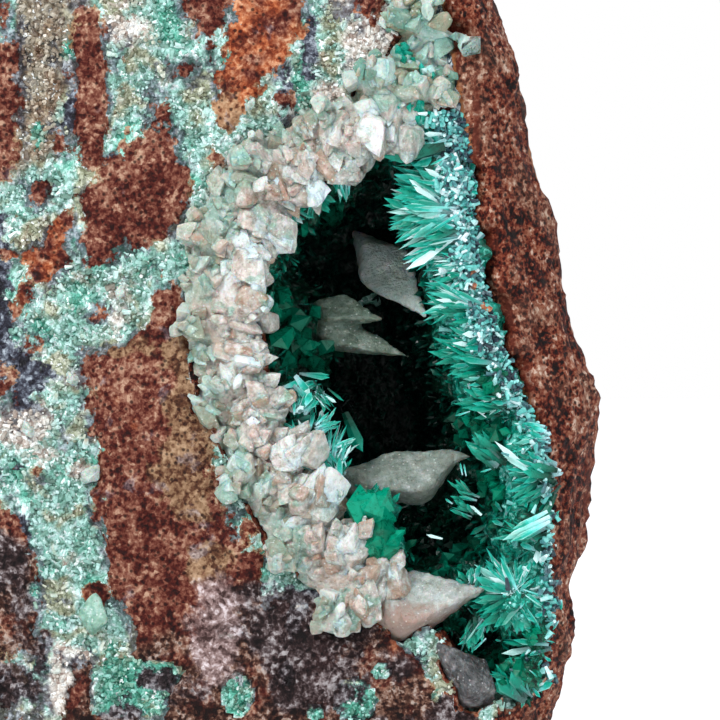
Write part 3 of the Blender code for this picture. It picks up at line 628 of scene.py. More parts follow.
def makeStoneMaterial():
    material, tree, shader = newMaterial("ironstoneWithVeins", Specular_IOR_Level=0.18)
    place = millimetres(tree)
    mottle = useGroup(tree, mottleGroup, Size=0.42, Stretch=1.0)
    flankMottle = useGroup(tree, mottleGroup, Size=0.36, Stretch=0.85, Depth=0.3)
    grains = useGroup(tree, grainGroup, Size=0.46, Lean=0.55)

    ragged = compute(tree, "MULTIPLY", compute(
        tree, "SUBTRACT", noiseAt(tree, place, 1.8, 6.0, 0.68), 0.5), 5.0)
    raggedFine = compute(tree, "MULTIPLY", compute(
        tree, "SUBTRACT", noiseAt(tree, place, 0.5, 3.0, 0.6), 0.5), 1.8)

    def distanceTo(name, rag=ragged):
        return compute(tree, "ADD", attributeOf(tree, name), rag)

    # vein stuff: mint grains
    broad = noiseAt(tree, place, 5.5, 3.0, 0.6, 0.4)
    mintShade = compute(tree, "ADD", compute(tree, "MULTIPLY", grains["Shade"], 0.62),
                        compute(tree, "MULTIPLY", broad, 0.55))
    mint = colourRamp(tree, mintShade, [
        (0.26, shade(60, 88, 74)), (0.40, shade(98, 136, 122)), (0.52, shade(128, 174, 160)),
        (0.64, shade(164, 206, 198)), (0.80, shade(208, 232, 232)), (0.92, shade(244, 250, 250))])
    tint = noiseAt(tree, place, 3.1, 2.0, 0.5, 0.6)
    olive = colourRamp(tree, grains["Shade"], [
        (0.1, shade(92, 84, 62)), (0.5, shade(150, 148, 116)), (0.9, shade(206, 206, 182))])
    mint = mixColours(tree, compute(tree, "MULTIPLY", between(tree, tint, 0.50, 0.62), 0.85), mint, olive)
    strong = colourRamp(tree, grains["Shade"], [
        (0.1, shade(38, 104, 88)), (0.5, shade(98, 178, 156)), (0.9, shade(176, 228, 214))])
    mint = mixColours(tree, between(tree, tint, 0.46, 0.30), mint, strong)
    rusty = between(tree, noiseAt(tree, place, 2.4, 4.0, 0.65, 0.5), 0.56, 0.68)
    topRust = between(tree, attributeOf(tree, "rust"), 0.15, 0.75)
    rusty = compute(tree, "MAXIMUM", compute(tree, "MULTIPLY", rusty, 0.8), topRust)
    mint = mixColours(tree, compute(tree, "MULTIPLY", rusty, 0.8), mint, colourRamp(
        tree, mottle["Shade"], [(0.2, shade(70, 36, 24)), (0.5, shade(124, 92, 70)),
                                (0.8, shade(178, 158, 136))]))

    # pinkish white patches
    paleColour = colourRamp(tree, compute(tree, "ADD", compute(
        tree, "MULTIPLY", grains["Shade"], 0.6), compute(tree, "MULTIPLY", tint, 0.5)), [
        (0.22, shade(122, 98, 92)), (0.40, shade(176, 150, 140)), (0.55, shade(206, 192, 184)),
        (0.72, shade(228, 222, 216)), (0.88, shade(250, 248, 246))])
    paleMask = between(tree, distanceTo("pale"), 0.35, -0.35)
    veins = mixColours(tree, compute(tree, "MULTIPLY", paleMask, 0.85), mint, paleColour)

    greenColour = colourRamp(tree, grains["Shade"], [
        (0.1, shade(20, 84, 68)), (0.45, shade(70, 146, 124)), (0.7, shade(112, 190, 172)),
        (0.95, shade(190, 232, 224))])
    greenMask = between(tree, distanceTo("green"), 0.2, -0.3)
    veins = mixColours(tree, greenMask, veins, greenColour)

    # painted glints: rare grains painted near white
    veins = mixColours(tree, compute(tree, "MULTIPLY", grains["Sparkle"], 0.8), veins, shade(246, 252, 252))

    # brown pieces
    red = colourRamp(tree, mottle["Shade"], [
        (0.12, shade(26, 2, 1)), (0.34, shade(66, 16, 9)), (0.50, shade(94, 48, 36)),
        (0.68, shade(124, 80, 64)), (0.90, shade(168, 134, 112))])
    orange = colourRamp(tree, mottle["Shade"], [
        (0.08, shade(74, 18, 6)), (0.35, shade(132, 58, 28)), (0.60, shade(172, 100, 62)),
        (0.90, shade(206, 154, 116))])
    toned = compute(tree, "ADD", attributeOf(tree, "tone"), compute(
        tree, "MULTIPLY", compute(tree, "SUBTRACT", noiseAt(tree, place, 2.2, 3.0), 0.5), 1.3))
    brown = mixColours(tree, between(tree, toned, 0.45, 0.85), red, orange)
    ochreColour = colourRamp(tree, mottle["Shade"], [
        (0.08, shade(40, 16, 8)), (0.30, shade(88, 58, 38)), (0.52, shade(134, 108, 80)),
        (0.82, shade(164, 138, 108))])
    ochreMask = between(tree, distanceTo("ochre"), 0.3, -0.3)
    brown = mixColours(tree, compute(tree, "MULTIPLY", ochreMask, 0.7), brown, ochreColour)
    lilac = between(tree, noiseAt(tree, place, 2.6, 4.0, 0.65, 0.3), 0.60, 0.70)
    brown = mixColours(tree, compute(tree, "MULTIPLY", lilac, 0.6), brown, colourRamp(
        tree, mottle["Shade"], [(0.1, shade(38, 30, 36)), (0.5, shade(94, 84, 90)),
                                (0.9, shade(158, 150, 154))]))
    lowPart = between(tree, attributeOf(tree, "bottom"), 0.6, -0.8)
    lowPart = compute(tree, "MULTIPLY", lowPart, between(
        tree, noiseAt(tree, place, 3.0, 4.0, 0.65, 0.3), 0.36, 0.52))
    brown = mixColours(tree, compute(tree, "MULTIPLY", lowPart, 0.9), brown, colourRamp(
        tree, mottle["Shade"], [(0.24, shade(10, 3, 2)), (0.48, shade(50, 28, 20)),
                                (0.66, shade(108, 80, 66)), (0.9, shade(160, 146, 138))]))
    pitMask = compute(tree, "MULTIPLY", mottle["Pits"], 0.8)
    brown = mixColours(tree, pitMask, brown, shade(20, 2, 1))

    flankColour = colourRamp(tree, flankMottle["Shade"], [
        (0.24, shade(8, 1, 1)), (0.37, shade(56, 8, 3)), (0.48, shade(94, 34, 18)),
        (0.60, shade(120, 66, 46)), (0.76, shade(144, 100, 80)), (0.92, shade(188, 164, 148))])
    flankTint = between(tree, noiseAt(tree, place, 4.0, 3.0, 0.6), 0.48, 0.66)
    flankColour = mixColours(tree, compute(tree, "MULTIPLY", flankTint, 0.45), flankColour, colourRamp(
        tree, flankMottle["Shade"], [(0.1, shade(40, 14, 9)), (0.5, shade(106, 72, 56)),
                                     (0.9, shade(178, 156, 136))]))
    flankColour = mixColours(tree, compute(tree, "MULTIPLY", flankMottle["Pits"], 0.9), flankColour,
                             shade(14, 1, 1))
    layered = addNode(tree, "VectorMath", {0: place, 1: (1.0, 0.3, 0.16)}, operation="MULTIPLY").outputs[0]
    streaks = compute(tree, "MULTIPLY", between(tree, noiseAt(tree, layered, 0.75, 2.0), 0.52, 0.42),
                      between(tree, attributeOf(tree, "flank"), -3.0, -1.4))
    flankColour = mixColours(tree, compute(tree, "MULTIPLY", streaks, 0.6), flankColour, shade(84, 30, 16))

    # charcoal
    coal = colourRamp(tree, mottle["Shade"], [
        (0.16, shade(8, 7, 14)), (0.44, shade(40, 40, 52)), (0.66, shade(84, 90, 102)),
        (0.9, shade(160, 170, 180))])

    brownDistance = distanceTo("brown")
    colour = mixColours(tree, between(tree, distanceTo("dark"), 0.25, -0.25), veins, coal)
    # a dark lilac border round each brown piece, then a thin cream line
    patchy = noiseAt(tree, place, 3.4, 3.0, 0.6)
    border = compute(tree, "MULTIPLY", between(tree, brownDistance, 1.15, 0.45),
                     between(tree, patchy, 0.42, 0.54))
    colour = mixColours(tree, compute(tree, "MULTIPLY", border, 0.85), colour, coal)
    brownMask = between(tree, brownDistance, 0.12, -0.06)
    colour = mixColours(tree, brownMask, colour, brown)
    line = compute(tree, "MULTIPLY", between(tree, brownDistance, -0.30, -0.12),
                   between(tree, brownDistance, 0.12, 0.0))
    line = compute(tree, "MULTIPLY", line, between(tree, patchy, 0.50, 0.36))
    cream = colourRamp(tree, mottle["Shade"], [
        (0.2, shade(128, 98, 68)), (0.6, shade(184, 156, 122)), (0.9, shade(220, 200, 172))])
    colour = mixColours(tree, compute(tree, "MULTIPLY", line, 0.65), colour, cream)

    soot = colourRamp(tree, mottle["Shade"], [
        (0.20, shade(8, 3, 4)), (0.46, shade(38, 26, 27)), (0.64, shade(84, 74, 76)),
        (0.9, shade(156, 152, 154))])
    sooty = compute(tree, "MULTIPLY", between(tree, distanceTo("dark"), 0.5, -0.5),
                    between(tree, attributeOf(tree, "bottom"), 0.6, -0.4))
    colour = mixColours(tree, compute(tree, "MULTIPLY", sooty, 0.9), colour, soot)
    pink = colourRamp(tree, mottle["Shade"], [
        (0.16, shade(52, 34, 32)), (0.42, shade(112, 90, 88)), (0.62, shade(150, 130, 128)),
        (0.9, shade(212, 200, 204))])
    colour = mixColours(tree, compute(tree, "MULTIPLY", between(
        tree, distanceTo("lens"), 0.5, -0.5), 0.85), colour, pink)

    # the plain rock of the right side, behind a thin slate-grey seam
    flankDistance = compute(tree, "ADD", attributeOf(tree, "flank"), compute(
        tree, "MULTIPLY", raggedFine, 0.55))
    seam = between(tree, flankDistance, 0.75, 0.45)
    seamColour = colourRamp(tree, grains["Shade"], [
        (0.15, shade(30, 40, 52)), (0.45, shade(72, 88, 100)), (0.68, shade(128, 150, 158)),
        (0.86, shade(232, 240, 242))])
    colour = mixColours(tree, seam, colour, seamColour)
    flankMask = between(tree, flankDistance, 0.05, -0.10)
    flankLineMask = compute(tree, "MULTIPLY", between(tree, flankDistance, -0.5, -0.2), flankMask)
    colour = mixColours(tree, flankMask, colour, flankColour)
    colour = mixColours(tree, compute(tree, "MULTIPLY", flankLineMask, 0.6), colour,
                        shade(170, 112, 70))
    tree.links.new(colour, shader.inputs["Base Color"])

    rocky = compute(tree, "MAXIMUM", brownMask, flankMask)
    grainRough = colourRamp(tree, grains["Shade"], [(0.2, (0.62,) * 3 + (1,)), (0.9, (0.28,) * 3 + (1,))])
    rough = mixColours(tree, rocky, grainRough, (0.78, 0.78, 0.78, 1))
    tree.links.new(rough, shader.inputs["Roughness"])
    height = mixColours(tree, rocky, grains["Height"], mottle["Height"])
    facet = addNode(tree, "Mix", data_type="VECTOR")
    tree.links.new(compute(tree, "MULTIPLY", rocky, 1.0), facet.inputs[0])
    tree.links.new(grains["Facet"], facet.inputs[4])
    tree.links.new(addNode(tree, "NewGeometry").outputs["Normal"], facet.inputs[5])
    bump = addNode(tree, "Bump", {
        "Strength": 0.75, "Distance": 0.0003, "Height": height, "Normal": facet.outputs[1]})
    tree.links.new(bump.outputs[0], shader.inputs["Normal"])
    return material


stone = buildStone()
finishPiece(stone, makeStoneMaterial(), "ironstone", "matrix")

# Crystals: shared shapes

def makeBlade():
    # A flat lath, one long: it widens towards a slanting tip.
    clearSelection()
    bpy.ops.mesh.primitive_cylinder_add(vertices=4, radius=0.5, depth=0.72, location=(0, 0, 0.36))
    blade = bpy.context.object
    blade.name = "bladeShape"
    bpy.ops.object.transform_apply(location=True, rotation=False, scale=False)
    selectFaces(blade, lambda centre, normal: normal.z > 0.9)
    bpy.ops.mesh.extrude_region_move(TRANSFORM_OT_translate={"value": (0.12, 0, 0.28)})
    bpy.ops.mesh.merge(type="CENTER")
    bpy.ops.object.mode_set(mode="OBJECT")
    selectFaces(blade, lambda centre, normal: normal.z < -0.9)
    bpy.ops.transform.resize(value=(0.5, 0.6, 1.0))
    bpy.ops.object.mode_set(mode="OBJECT")
    return blade


def makeCalcitePoint():
    # A scalenohedron, one long: two six-sided points on a belt that steps up and down.
    clearSelection()
    bpy.ops.mesh.primitive_cone_add(vertices=6, radius1=0.5, radius2=0, depth=0.6, location=(0, 0, 0.7))
    point = bpy.context.object
    point.name = "calcitePointShape"
    bpy.ops.object.transform_apply(location=True, rotation=False, scale=False)
    selectFaces(point, lambda centre, normal: normal.z < -0.9)
    bpy.ops.mesh.extrude_region_move(TRANSFORM_OT_translate={"value": (0, 0, -0.4)})
    bpy.ops.mesh.merge(type="CENTER")
    bpy.ops.object.mode_set(mode="OBJECT")
    belt = sorted((v for v in point.data.vertices if 0.2 < v.co.z < 0.6),
                  key=lambda v: math.atan2(v.co.y, v.co.x))
    for k, vertex in enumerate(belt):
        vertex.co.z += 0.09 if k % 2 else -0.09
        vertex.co.x *= 1.0 if k % 2 else 0.84
        vertex.co.y *= 1.0 if k % 2 else 0.84
    return point


def makeGrain():
    # A five-sided stub with a small slanting top.
    clearSelection()
    bpy.ops.mesh.primitive_cylinder_add(vertices=5, radius=0.55, depth=1.0, location=(0, 0, 0))
    grain = bpy.context.object
    grain.name = "grainShape"
    selectFaces(grain, lambda centre, normal: normal.z > 0.9)
    bpy.ops.transform.resize(value=(0.5, 0.62, 1.0))
    bpy.ops.transform.translate(value=(0.12, -0.08, 0.0))
    bpy.ops.object.mode_set(mode="OBJECT")
    return grain


def selectFaces(obj, wanted):
    # Leaves edit mode on, with the faces selected that wanted(centre, normal) picks.
    activate(obj)
    bpy.ops.object.mode_set(mode="EDIT")
    bpy.ops.mesh.select_mode(type="FACE")
    bpy.ops.mesh.select_all(action="DESELECT")
    bpy.ops.object.mode_set(mode="OBJECT")
    for face in obj.data.polygons:
        face.select = bool(wanted(face.center, face.normal))
    bpy.ops.object.mode_set(mode="EDIT")


def standingFrames(roots, axes, rolls, lengths, widths, thicks):
    # One 4 x 4 frame for each crystal, from its root, direction, roll and sizes.
    axes = axes / np.linalg.norm(axes, axis=1, keepdims=True)
    helper = np.where(np.abs(axes[:, 2:3]) < 0.9, [[0, 0, 1.0]], [[1.0, 0, 0]])
    side = np.cross(helper, axes)
    side /= np.linalg.norm(side, axis=1, keepdims=True)
    up = np.cross(axes, side)
    cosine, sine = np.cos(rolls)[:, None], np.sin(rolls)[:, None]
    frames = np.zeros((len(roots), 4, 4))
    frames[:, :3, 0] = (side * cosine + up * sine) * np.asarray(widths)[:, None]
    frames[:, :3, 1] = (up * cosine - side * sine) * np.asarray(thicks)[:, None]
    frames[:, :3, 2] = axes * np.asarray(lengths)[:, None]
    frames[:, :3, 3] = roots
    frames[:, 3, 3] = 1.0
    return frames


def joinCopies(name, shape, frames, perCopy):
    # One mesh with a copy of the shape at each frame, and the numbers that each copy carries.
    count, size = len(frames), len(shape.data.vertices)
    places = placesOf(shape) * mm
    moved = np.einsum("nij,mj->nmi", frames[:, :3, :3], places) + frames[:, None, :3, 3]
    faces = [tuple(face.vertices) for face in shape.data.polygons]
    allFaces = [tuple(v + size * k for v in face) for k in range(count) for face in faces]
    mesh = bpy.data.meshes.new(name)
    mesh.from_pydata((moved.reshape(-1, 3) * mm).tolist(), [], allFaces)
    obj = bpy.data.objects.new(name, mesh)
    bpy.context.scene.collection.objects.link(obj)
    setAttribute(obj, "along", np.tile(places[:, 2], count))
    setAttribute(obj, "across", np.tile(np.abs(places[:, 0]) * 2, count))
    for key, values in perCopy.items():
        setAttribute(obj, key, np.repeat(values, size))
    return obj


def removeShape(shape):
    bpy.data.objects.remove(shape, do_unlink=True)


def surfaceTree(nodeName):
    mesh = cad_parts[nodeName].data
    return BVHTree.FromPolygons([v.co for v in mesh.vertices], [p.vertices for p in mesh.polygons])


def hitFromCamera(tree, x, z):
    # The place (mm) and normal where the camera's line through the view at x, z meets it.
    start = Vector(view["camera"]) * mm
    towards = (Vector((x, view["planeY"], z)) * mm - start).normalized()
    place, normal, _, _ = tree.ray_cast(start, towards)
    return (None, None) if place is None else (np.array(place) / mm, np.array(normal))


def placesOnNode(nodeName, count, dice, wanted=None):
    # Random places on a CAD node, spread by area, with their normals.
    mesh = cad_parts[nodeName].data
    mesh.calc_loop_triangles()
    corners = np.array([[mesh.vertices[v].co for v in t.vertices] for t in mesh.loop_triangles]) / mm
    normals = np.cross(corners[:, 1] - corners[:, 0], corners[:, 2] - corners[:, 0])
    areas = np.linalg.norm(normals, axis=1)
    normals /= np.maximum(areas, 1e-12)[:, None]
    if wanted is not None:
        areas = areas * wanted(corners.mean(axis=1), normals)
    picked = dice.choice(len(areas), count, p=areas / areas.sum())
    a, b = dice.uniform(0, 1, (2, count, 1))
    flip = a + b > 1
    a, b = np.where(flip, 1 - a, a), np.where(flip, 1 - b, b)
    chosen = corners[picked]
    return chosen[:, 0] + a * (chosen[:, 1] - chosen[:, 0]) + b * (chosen[:, 2] - chosen[:, 0]), normals[picked]


def unit(vectors):
    return vectors / np.maximum(np.linalg.norm(vectors, axis=-1, keepdims=True), 1e-9)


bladeShape = makeBlade()
calcitePointShape = makeCalcitePoint()
grainShape = makeGrain()

# Grains in the veins

grainLook = {"count": 12000, "small": 0.20, "large": 0.60}


def buildVeinGrains():
    print("grains in the veins")
    dice = np.random.default_rng(11)
    mesh = stone.data
    counts = 60000
    faces = len(mesh.polygons)
    areas = np.empty(faces)
    centres, normals = np.empty(faces * 3), np.empty(faces * 3)
    mesh.polygons.foreach_get("area", areas)
    mesh.polygons.foreach_get("center", centres)
    mesh.polygons.foreach_get("normal", normals)
    centres, normals = centres.reshape(-1, 3) / mm, normals.reshape(-1, 3)
    outside = asDepth(centres) < 2.0
    weight = areas * np.where(outside, 1.0, 0.22) * (centres[:, 2] > 0.8)
    picked = dice.choice(faces, counts, p=weight / weight.sum())
    roots, up = centres[picked] + dice.normal(0, 0.08, (counts, 3)), normals[picked]
    fields = stoneFields(roots, up)
    free = (fields["brown"] > 0.55) & (fields["flank"] > 1.0) & (fields["dark"] > 0.2)
    inVug = (asDepth(roots) > 0.8) & (spotDistance(asSeen(roots), (16.0, 38.0, 13.0, 24.0)) < 0)
    chosen = np.flatnonzero(free & ~inVug)[:grainLook["count"]]
    roots, up = roots[chosen], up[chosen]
    count = len(chosen)
    size = grainLook["small"] + (grainLook["large"] - grainLook["small"]) * dice.power(0.55, count)
    axes = unit(up + dice.normal(0, 0.55, (count, 3)))
    frames = standingFrames(
        roots + up * (size * 0.12)[:, None], axes, dice.uniform(0, 6.3, count),
        size * dice.uniform(0.7, 1.5, count), size * dice.uniform(0.6, 1.1, count), size * 0.8)
    return joinCopies("veinGrains", grainShape, frames, {
        "rust": rustShare(roots),
        "tint": dice.uniform(0, 1, count),
        "pale": fields["pale"][chosen], "green": fields["green"][chosen]})


def makeGrainMaterial():
    material, tree, shader = newMaterial(
        "mintGrains", Specular_IOR_Level=0.55, Transmission_Weight=0.12, IOR=1.6)
    place = millimetres(tree)
    tint = attributeOf(tree, "tint")
    fine = noiseAt(tree, place, 0.3, 3.0, 0.6)
    shadeMix = compute(tree, "ADD", compute(tree, "MULTIPLY", tint, 0.55),
                       compute(tree, "MULTIPLY", fine, 0.5))
    broad = noiseAt(tree, place, 3.1, 2.0, 0.5, 0.6)
    mint = colourRamp(tree, shadeMix, [
        (0.25, shade(72, 106, 92)), (0.42, shade(114, 158, 144)), (0.58, shade(146, 194, 184)),
        (0.74, shade(190, 224, 220)), (0.88, shade(244, 250, 250))])
    olive = colourRamp(tree, shadeMix, [
        (0.25, shade(104, 96, 70)), (0.55, shade(158, 156, 126)), (0.85, shade(214, 214, 194))])
    colour = mixColours(tree, compute(tree, "MULTIPLY", between(tree, broad, 0.50, 0.62), 0.85), mint, olive)
    rusty = between(tree, noiseAt(tree, place, 2.4, 4.0, 0.65, 0.5), 0.56, 0.68)
    rusty = compute(tree, "MAXIMUM", compute(tree, "MULTIPLY", rusty, 0.7), between(
        tree, attributeOf(tree, "rust"), 0.2, 0.8))
    colour = mixColours(tree, compute(tree, "MULTIPLY", rusty, 0.8), colour, colourRamp(
        tree, shadeMix, [(0.25, shade(84, 48, 34)), (0.5, shade(138, 106, 84)),
                         (0.8, shade(196, 178, 158))]))
    pale = colourRamp(tree, shadeMix, [
        (0.25, shade(150, 126, 116)), (0.5, shade(206, 190, 180)), (0.75, shade(246, 242, 238))])
    paleMask = between(tree, attributeOf(tree, "pale"), 0.5, -0.5)
    colour = mixColours(tree, compute(tree, "MULTIPLY", paleMask, 0.85), colour, pale)
    green = colourRamp(tree, shadeMix, [
        (0.25, shade(24, 92, 74)), (0.55, shade(74, 156, 134)), (0.85, shade(150, 216, 204))])
    greenShare = compute(tree, "MULTIPLY", between(tree, attributeOf(tree, "green"), 0.3, -0.5), 0.8)
    colour = mixColours(tree, greenShare, colour, green)
    tree.links.new(colour, shader.inputs["Base Color"])
    rough = colourRamp(tree, fine, [(0.3, (0.2, 0.2, 0.2, 1)), (0.7, (0.5, 0.5, 0.5, 1))])
    tree.links.new(rough, shader.inputs["Roughness"])
    bump = addNode(tree, "Bump", {"Strength": 0.4, "Distance": 0.0001, "Height": fine})
    tree.links.new(bump.outputs[0], shader.inputs["Normal"])
    return material


finishPiece(buildVeinGrains(), makeGrainMaterial(), "ironstone")

# The green crust

greenLook = {
    "voxel": 0.36, "shrink": 0.45,
    "coverCount": 3600, "coverLength": (0.6, 1.7),
}
# Fans on the wall: root x and z in the view, first and last angle (degrees, 180 is left), length,
# blades, paleness, width of a blade, and how far they lean out.
wallFans = [
    (20.9, 58.6, 196, 262, 3.6, 60, 0.95, 0.34, 0.25),
    (20.8, 59.6, 178, 192, 5.2, 26, 0.35, 0.62, 0.25),
    (20.4, 60.2, 150, 178, 3.4, 24, 0.45, 0.50, 0.25),
    (20.9, 56.0, 160, 205, 5.0, 70, 0.5, 0.60, 0.35),
    (21.3, 54.2, 158, 205, 5.6, 90, 0.7, 0.58, 0.35),
    (21.6, 52.4, 165, 215, 5.2, 90, 0.8, 0.52, 0.35),
    (19.4, 54.4, 150, 215, 3.9, 56, 0.55, 0.62, 0.3),
    (22.3, 49.8, 150, 215, 4.0, 64, 0.85, 0.40, 0.3),
    (22.6, 47.6, 160, 200, 3.9, 60, 0.95, 0.36, 0.3),
    (23.2, 45.4, 150, 205, 4.4, 80, 0.45, 0.60, 0.35),
    (23.6, 43.2, 155, 215, 4.2, 74, 0.35, 0.60, 0.35),
    (24.2, 41.2, 150, 212, 3.8, 60, 0.35, 0.56, 0.3),
    (25.2, 38.8, 150, 215, 3.7, 60, 0.35, 0.56, 0.3),
    (26.3, 40.0, 155, 235, 2.6, 40, 0.95, 0.30, 0.25),
    (29.0, 33.6, 128, 182, 5.0, 76, 0.55, 0.50, 0.3),
    (28.8, 32.6, 180, 232, 3.9, 56, 0.35, 0.60, 0.3),
    (28.4, 36.8, 140, 200, 3.0, 40, 0.75, 0.34, 0.25),
    (24.6, 34.8, 130, 230, 2.9, 40, 0.2, 0.56, 0.35),
    (23.0, 31.2, 120, 240, 2.8, 30, 0.15, 0.5, 0.35),
    (28.4, 28.8, 150, 215, 3.2, 40, 0.3, 0.5, 0.25),
    (28.2, 19.4, 160, 205, 3.6, 30, 0.4, 0.36, 0.2),
    (26.6, 15.6, 70, 175, 3.4, 50, 0.15, 0.6, 0.3),
    (8.4, 40.4, 300, 400, 2.4, 26, 0.35, 0.50, 0.35), (10.2, 39.8, 250, 380, 2.2, 24, 0.45, 0.44, 0.35),
    (8.8, 38.0, 30, 150, 2.2, 26, 0.5, 0.42, 0.4), (10.2, 37.0, 20, 140, 2.3, 30, 0.85, 0.34, 0.4),
    (9.4, 35.8, 40, 170, 2.2, 28, 0.8, 0.36, 0.4), (11.0, 35.0, 30, 150, 2.4, 34, 0.95, 0.32, 0.4),
    (10.2, 33.6, 60, 180, 2.2, 26, 0.7, 0.36, 0.4), (12.0, 33.2, 40, 150, 2.3, 30, 0.9, 0.32, 0.4),
    (7.4, 55.0, 270, 350, 2.8, 30, 0.4, 0.60, 0.2), (9.6, 55.8, 250, 340, 2.4, 26, 0.35, 0.56, 0.2),
    (12.0, 56.8, 230, 320, 2.2, 26, 0.35, 0.52, 0.1),
    (13.4, 26.6, 0, 130, 2.4, 40, 0.8, 0.36, 0.4), (15.6, 25.8, 10, 150, 1.9, 34, 0.8, 0.30, 0.3),
    (22.6, 24.4, 60, 170, 2.0, 30, 0.35, 0.42, 0.3), (23.4, 20.6, 150, 290, 2.4, 36, 0.4, 0.44, 0.3),
    (17.6, 64.4, 200, 300, 2.6, 24, 0.8, 0.40, 0.3),
    (18.4, 61.6, 160, 220, 3.4, 40, 0.85, 0.38, 0.3),
]
# Blades of the rosette in the lower right: angles, how many, length, width, paleness.
rosetteParts = [
    (112, 152, 26, 4.2, 0.42, 0.95), (150, 200, 20, 3.9, 0.7, 0.3), (196, 232, 20, 4.2, 0.85, 0.2),
    (232, 292, 22, 4.0, 0.8, 0.35), (292, 340, 20, 3.9, 0.6, 0.75), (-20, 60, 16, 2.4, 0.40, 0.9),
    (60, 112, 16, 3.0, 0.5, 0.8), (0, 360, 40, 2.6, 0.13, 1.0), (0, 360, 30, 1.3, 0.26, 1.0)]
rosetteRoot = (26.1, 23.7)
# Single large blades: root x and z, tip x and z, width, paleness, how far in front (mm).
largeBlades = [
    (20.4, 59.5, 15.4, 58.5, 1.3, 0.2, 1.0), (19.6, 58.6, 17.5, 55.0, 0.9, 0.2, 0.4),
    (12.4, 38.2, 13.7, 35.0, 1.1, 0.05, -3.0),
    (28.8, 29.9, 25.0, 27.9, 0.6, 1.0, 1.3), (28.8, 29.5, 25.6, 27.8, 0.5, 1.0, 1.5),
    (28.6, 30.3, 25.8, 28.8, 0.5, 1.0, 1.2), (28.2, 32.7, 24.3, 35.9, 0.5, 1.0, 0.9), (28.0, 32.9, 24.9, 34.9, 0.4, 1.0, 1.1),
    (23.0, 47.2, 19.2, 47.7, 0.5, 1.0, 0.9), (22.7, 46.9, 19.6, 47.2, 0.4, 1.0, 1.0),
    (22.4, 38.3, 21.2, 37.9, 0.16, 1.0, 0.2), (23.7, 37.8, 22.8, 38.5, 0.16, 1.0, 0.2),
    (24.4, 33.8, 23.2, 33.4, 0.16, 1.0, 0.2), (21.8, 33.2, 21.6, 34.2, 0.16, 1.0, -0.2),
    (22.1, 33.1, 21.9, 34.1, 0.14, 1.0, -0.2), (20.2, 28.1, 18.9, 28.4, 0.26, 1.0, -0.6),
    (21.0, 30.9, 20.4, 31.3, 0.2, 1.0, -0.6),
]
# Blocky crystals: x, z, spread around that place, how many, length, width share, brightness.
greenBlocks = [
    (17.3, 66.9, 0.7, 9, 2.2, 0.5, 0.4), (18.6, 65.0, 0.8, 12, 2.0, 0.45, 0.8),
    (16.4, 62.6, 1.2, 14, 2.6, 0.5, 0.8), (18.4, 61.8, 0.8, 10, 2.2, 0.45, 0.5),
    (14.5, 30.4, 0.7, 7, 4.2, 0.85, 0.6),
    (15.2, 27.8, 0.7, 7, 3.8, 0.85, 0.55),
    (17.0, 25.9, 0.8, 6, 1.8, 0.6, 0.6),
    (7.6, 46.2, 1.8, 22, 3.2, 0.62, 0.42),
    (9.8, 43.2, 2.0, 24, 3.2, 0.62, 0.42),
    (11.6, 41.4, 0.7, 5, 2.4, 0.6, 0.34),
    (8.2, 53.2, 1.0, 7, 2.8, 0.6, 0.5),
    (11.6, 54.4, 1.3, 12, 2.6, 0.55, 0.4),
    (23.4, 40.6, 1.3, 16, 2.6, 0.6, 0.34), (22.4, 37.4, 1.5, 20, 2.6, 0.62, 0.36),
    (24.0, 36.0, 1.4, 14, 2.4, 0.6, 0.42), (23.6, 31.6, 1.6, 14, 2.4, 0.6, 0.4),
    (22.2, 27.2, 1.2, 10, 2.4, 0.62, 0.62), (20.6, 26.0, 0.9, 6, 2.0, 0.6, 0.66),
    (19.6, 30.2, 1.8, 20, 1.8, 0.5, 0.4), (17.8, 28.2, 1.4, 14, 1.8, 0.5, 0.4),
    (25.2, 18.4, 1.4, 12, 2.2, 0.55, 0.36), (26.8, 20.6, 0.9, 6, 2.0, 0.5, 0.4),
]
# Places where the bed under the crystals is painted brighter, partly its own bright turquoise and emerald, partly
# painted light that fades with depth: x, z, half width, half height.
paintedBedLightSpots = [
    (14.8, 29.0, 2.4, 3.4), (23.0, 39.0, 3.0, 4.6), (24.6, 33.8, 3.4, 4.2), (22.4, 27.0, 2.4, 2.4),
    (20.4, 53.0, 2.8, 5.2), (22.2, 46.0, 2.8, 5.6), (26.0, 24.4, 3.6, 3.4), (20.0, 29.4, 2.0, 1.4),
    (10.8, 36.2, 2.4, 2.6)]


def standingOnFront(x, z, inFront):
    # A place just behind the broken front, or in front of it.
    return np.array([x, -21.0 - 0.07 * (x - 6.0) + 0.02 * (z - 40.0) + 0.7 - inFront, z])


def fromView(x, z, inFront=0.0):
    # The place near the broken front that the camera sees at x, z of the view.
    cameraX, cameraY, cameraZ = view["camera"]
    place = standingOnFront(x, z, inFront)
    nearer = (place[1] - cameraY) / (view["planeY"] - cameraY)
    return np.array([cameraX + (x - cameraX) * nearer, place[1], cameraZ + (z - cameraZ) * nearer])


def fanFrames(root, firstAngle, lastAngle, length, count, width, outward, dice):
    # Blades that spread from one root, the first the lowest.
    angles = np.radians(dice.uniform(firstAngle, lastAngle, count))
    leaning = dice.uniform(-0.5, outward, count)
    axes = np.stack([np.cos(angles), -leaning * 1.3, np.sin(angles)], axis=1)
    lengths = length * (1.0 - 0.42 * dice.power(0.7, count)) * (1 - 0.12 * np.abs(leaning))
    lengths = np.where(leaning > 0.0, lengths * 0.86, lengths)
    widths = width * dice.uniform(0.5, 1.35, count)
    rolls = math.pi / 2 + dice.normal(0, 0.5, count)  # mostly flat towards the camera
    roots = root + dice.normal(0, 0.30, (count, 3))
    return standingFrames(roots, axes, rolls, lengths, widths, widths * 0.3)


def seamX(z):
    # The x of the seam at a height.
    line = sorted((point[1], point[0]) for point in flankLine[:16])
    return float(np.interp(z, [p[0] for p in line], [p[1] for p in line]))


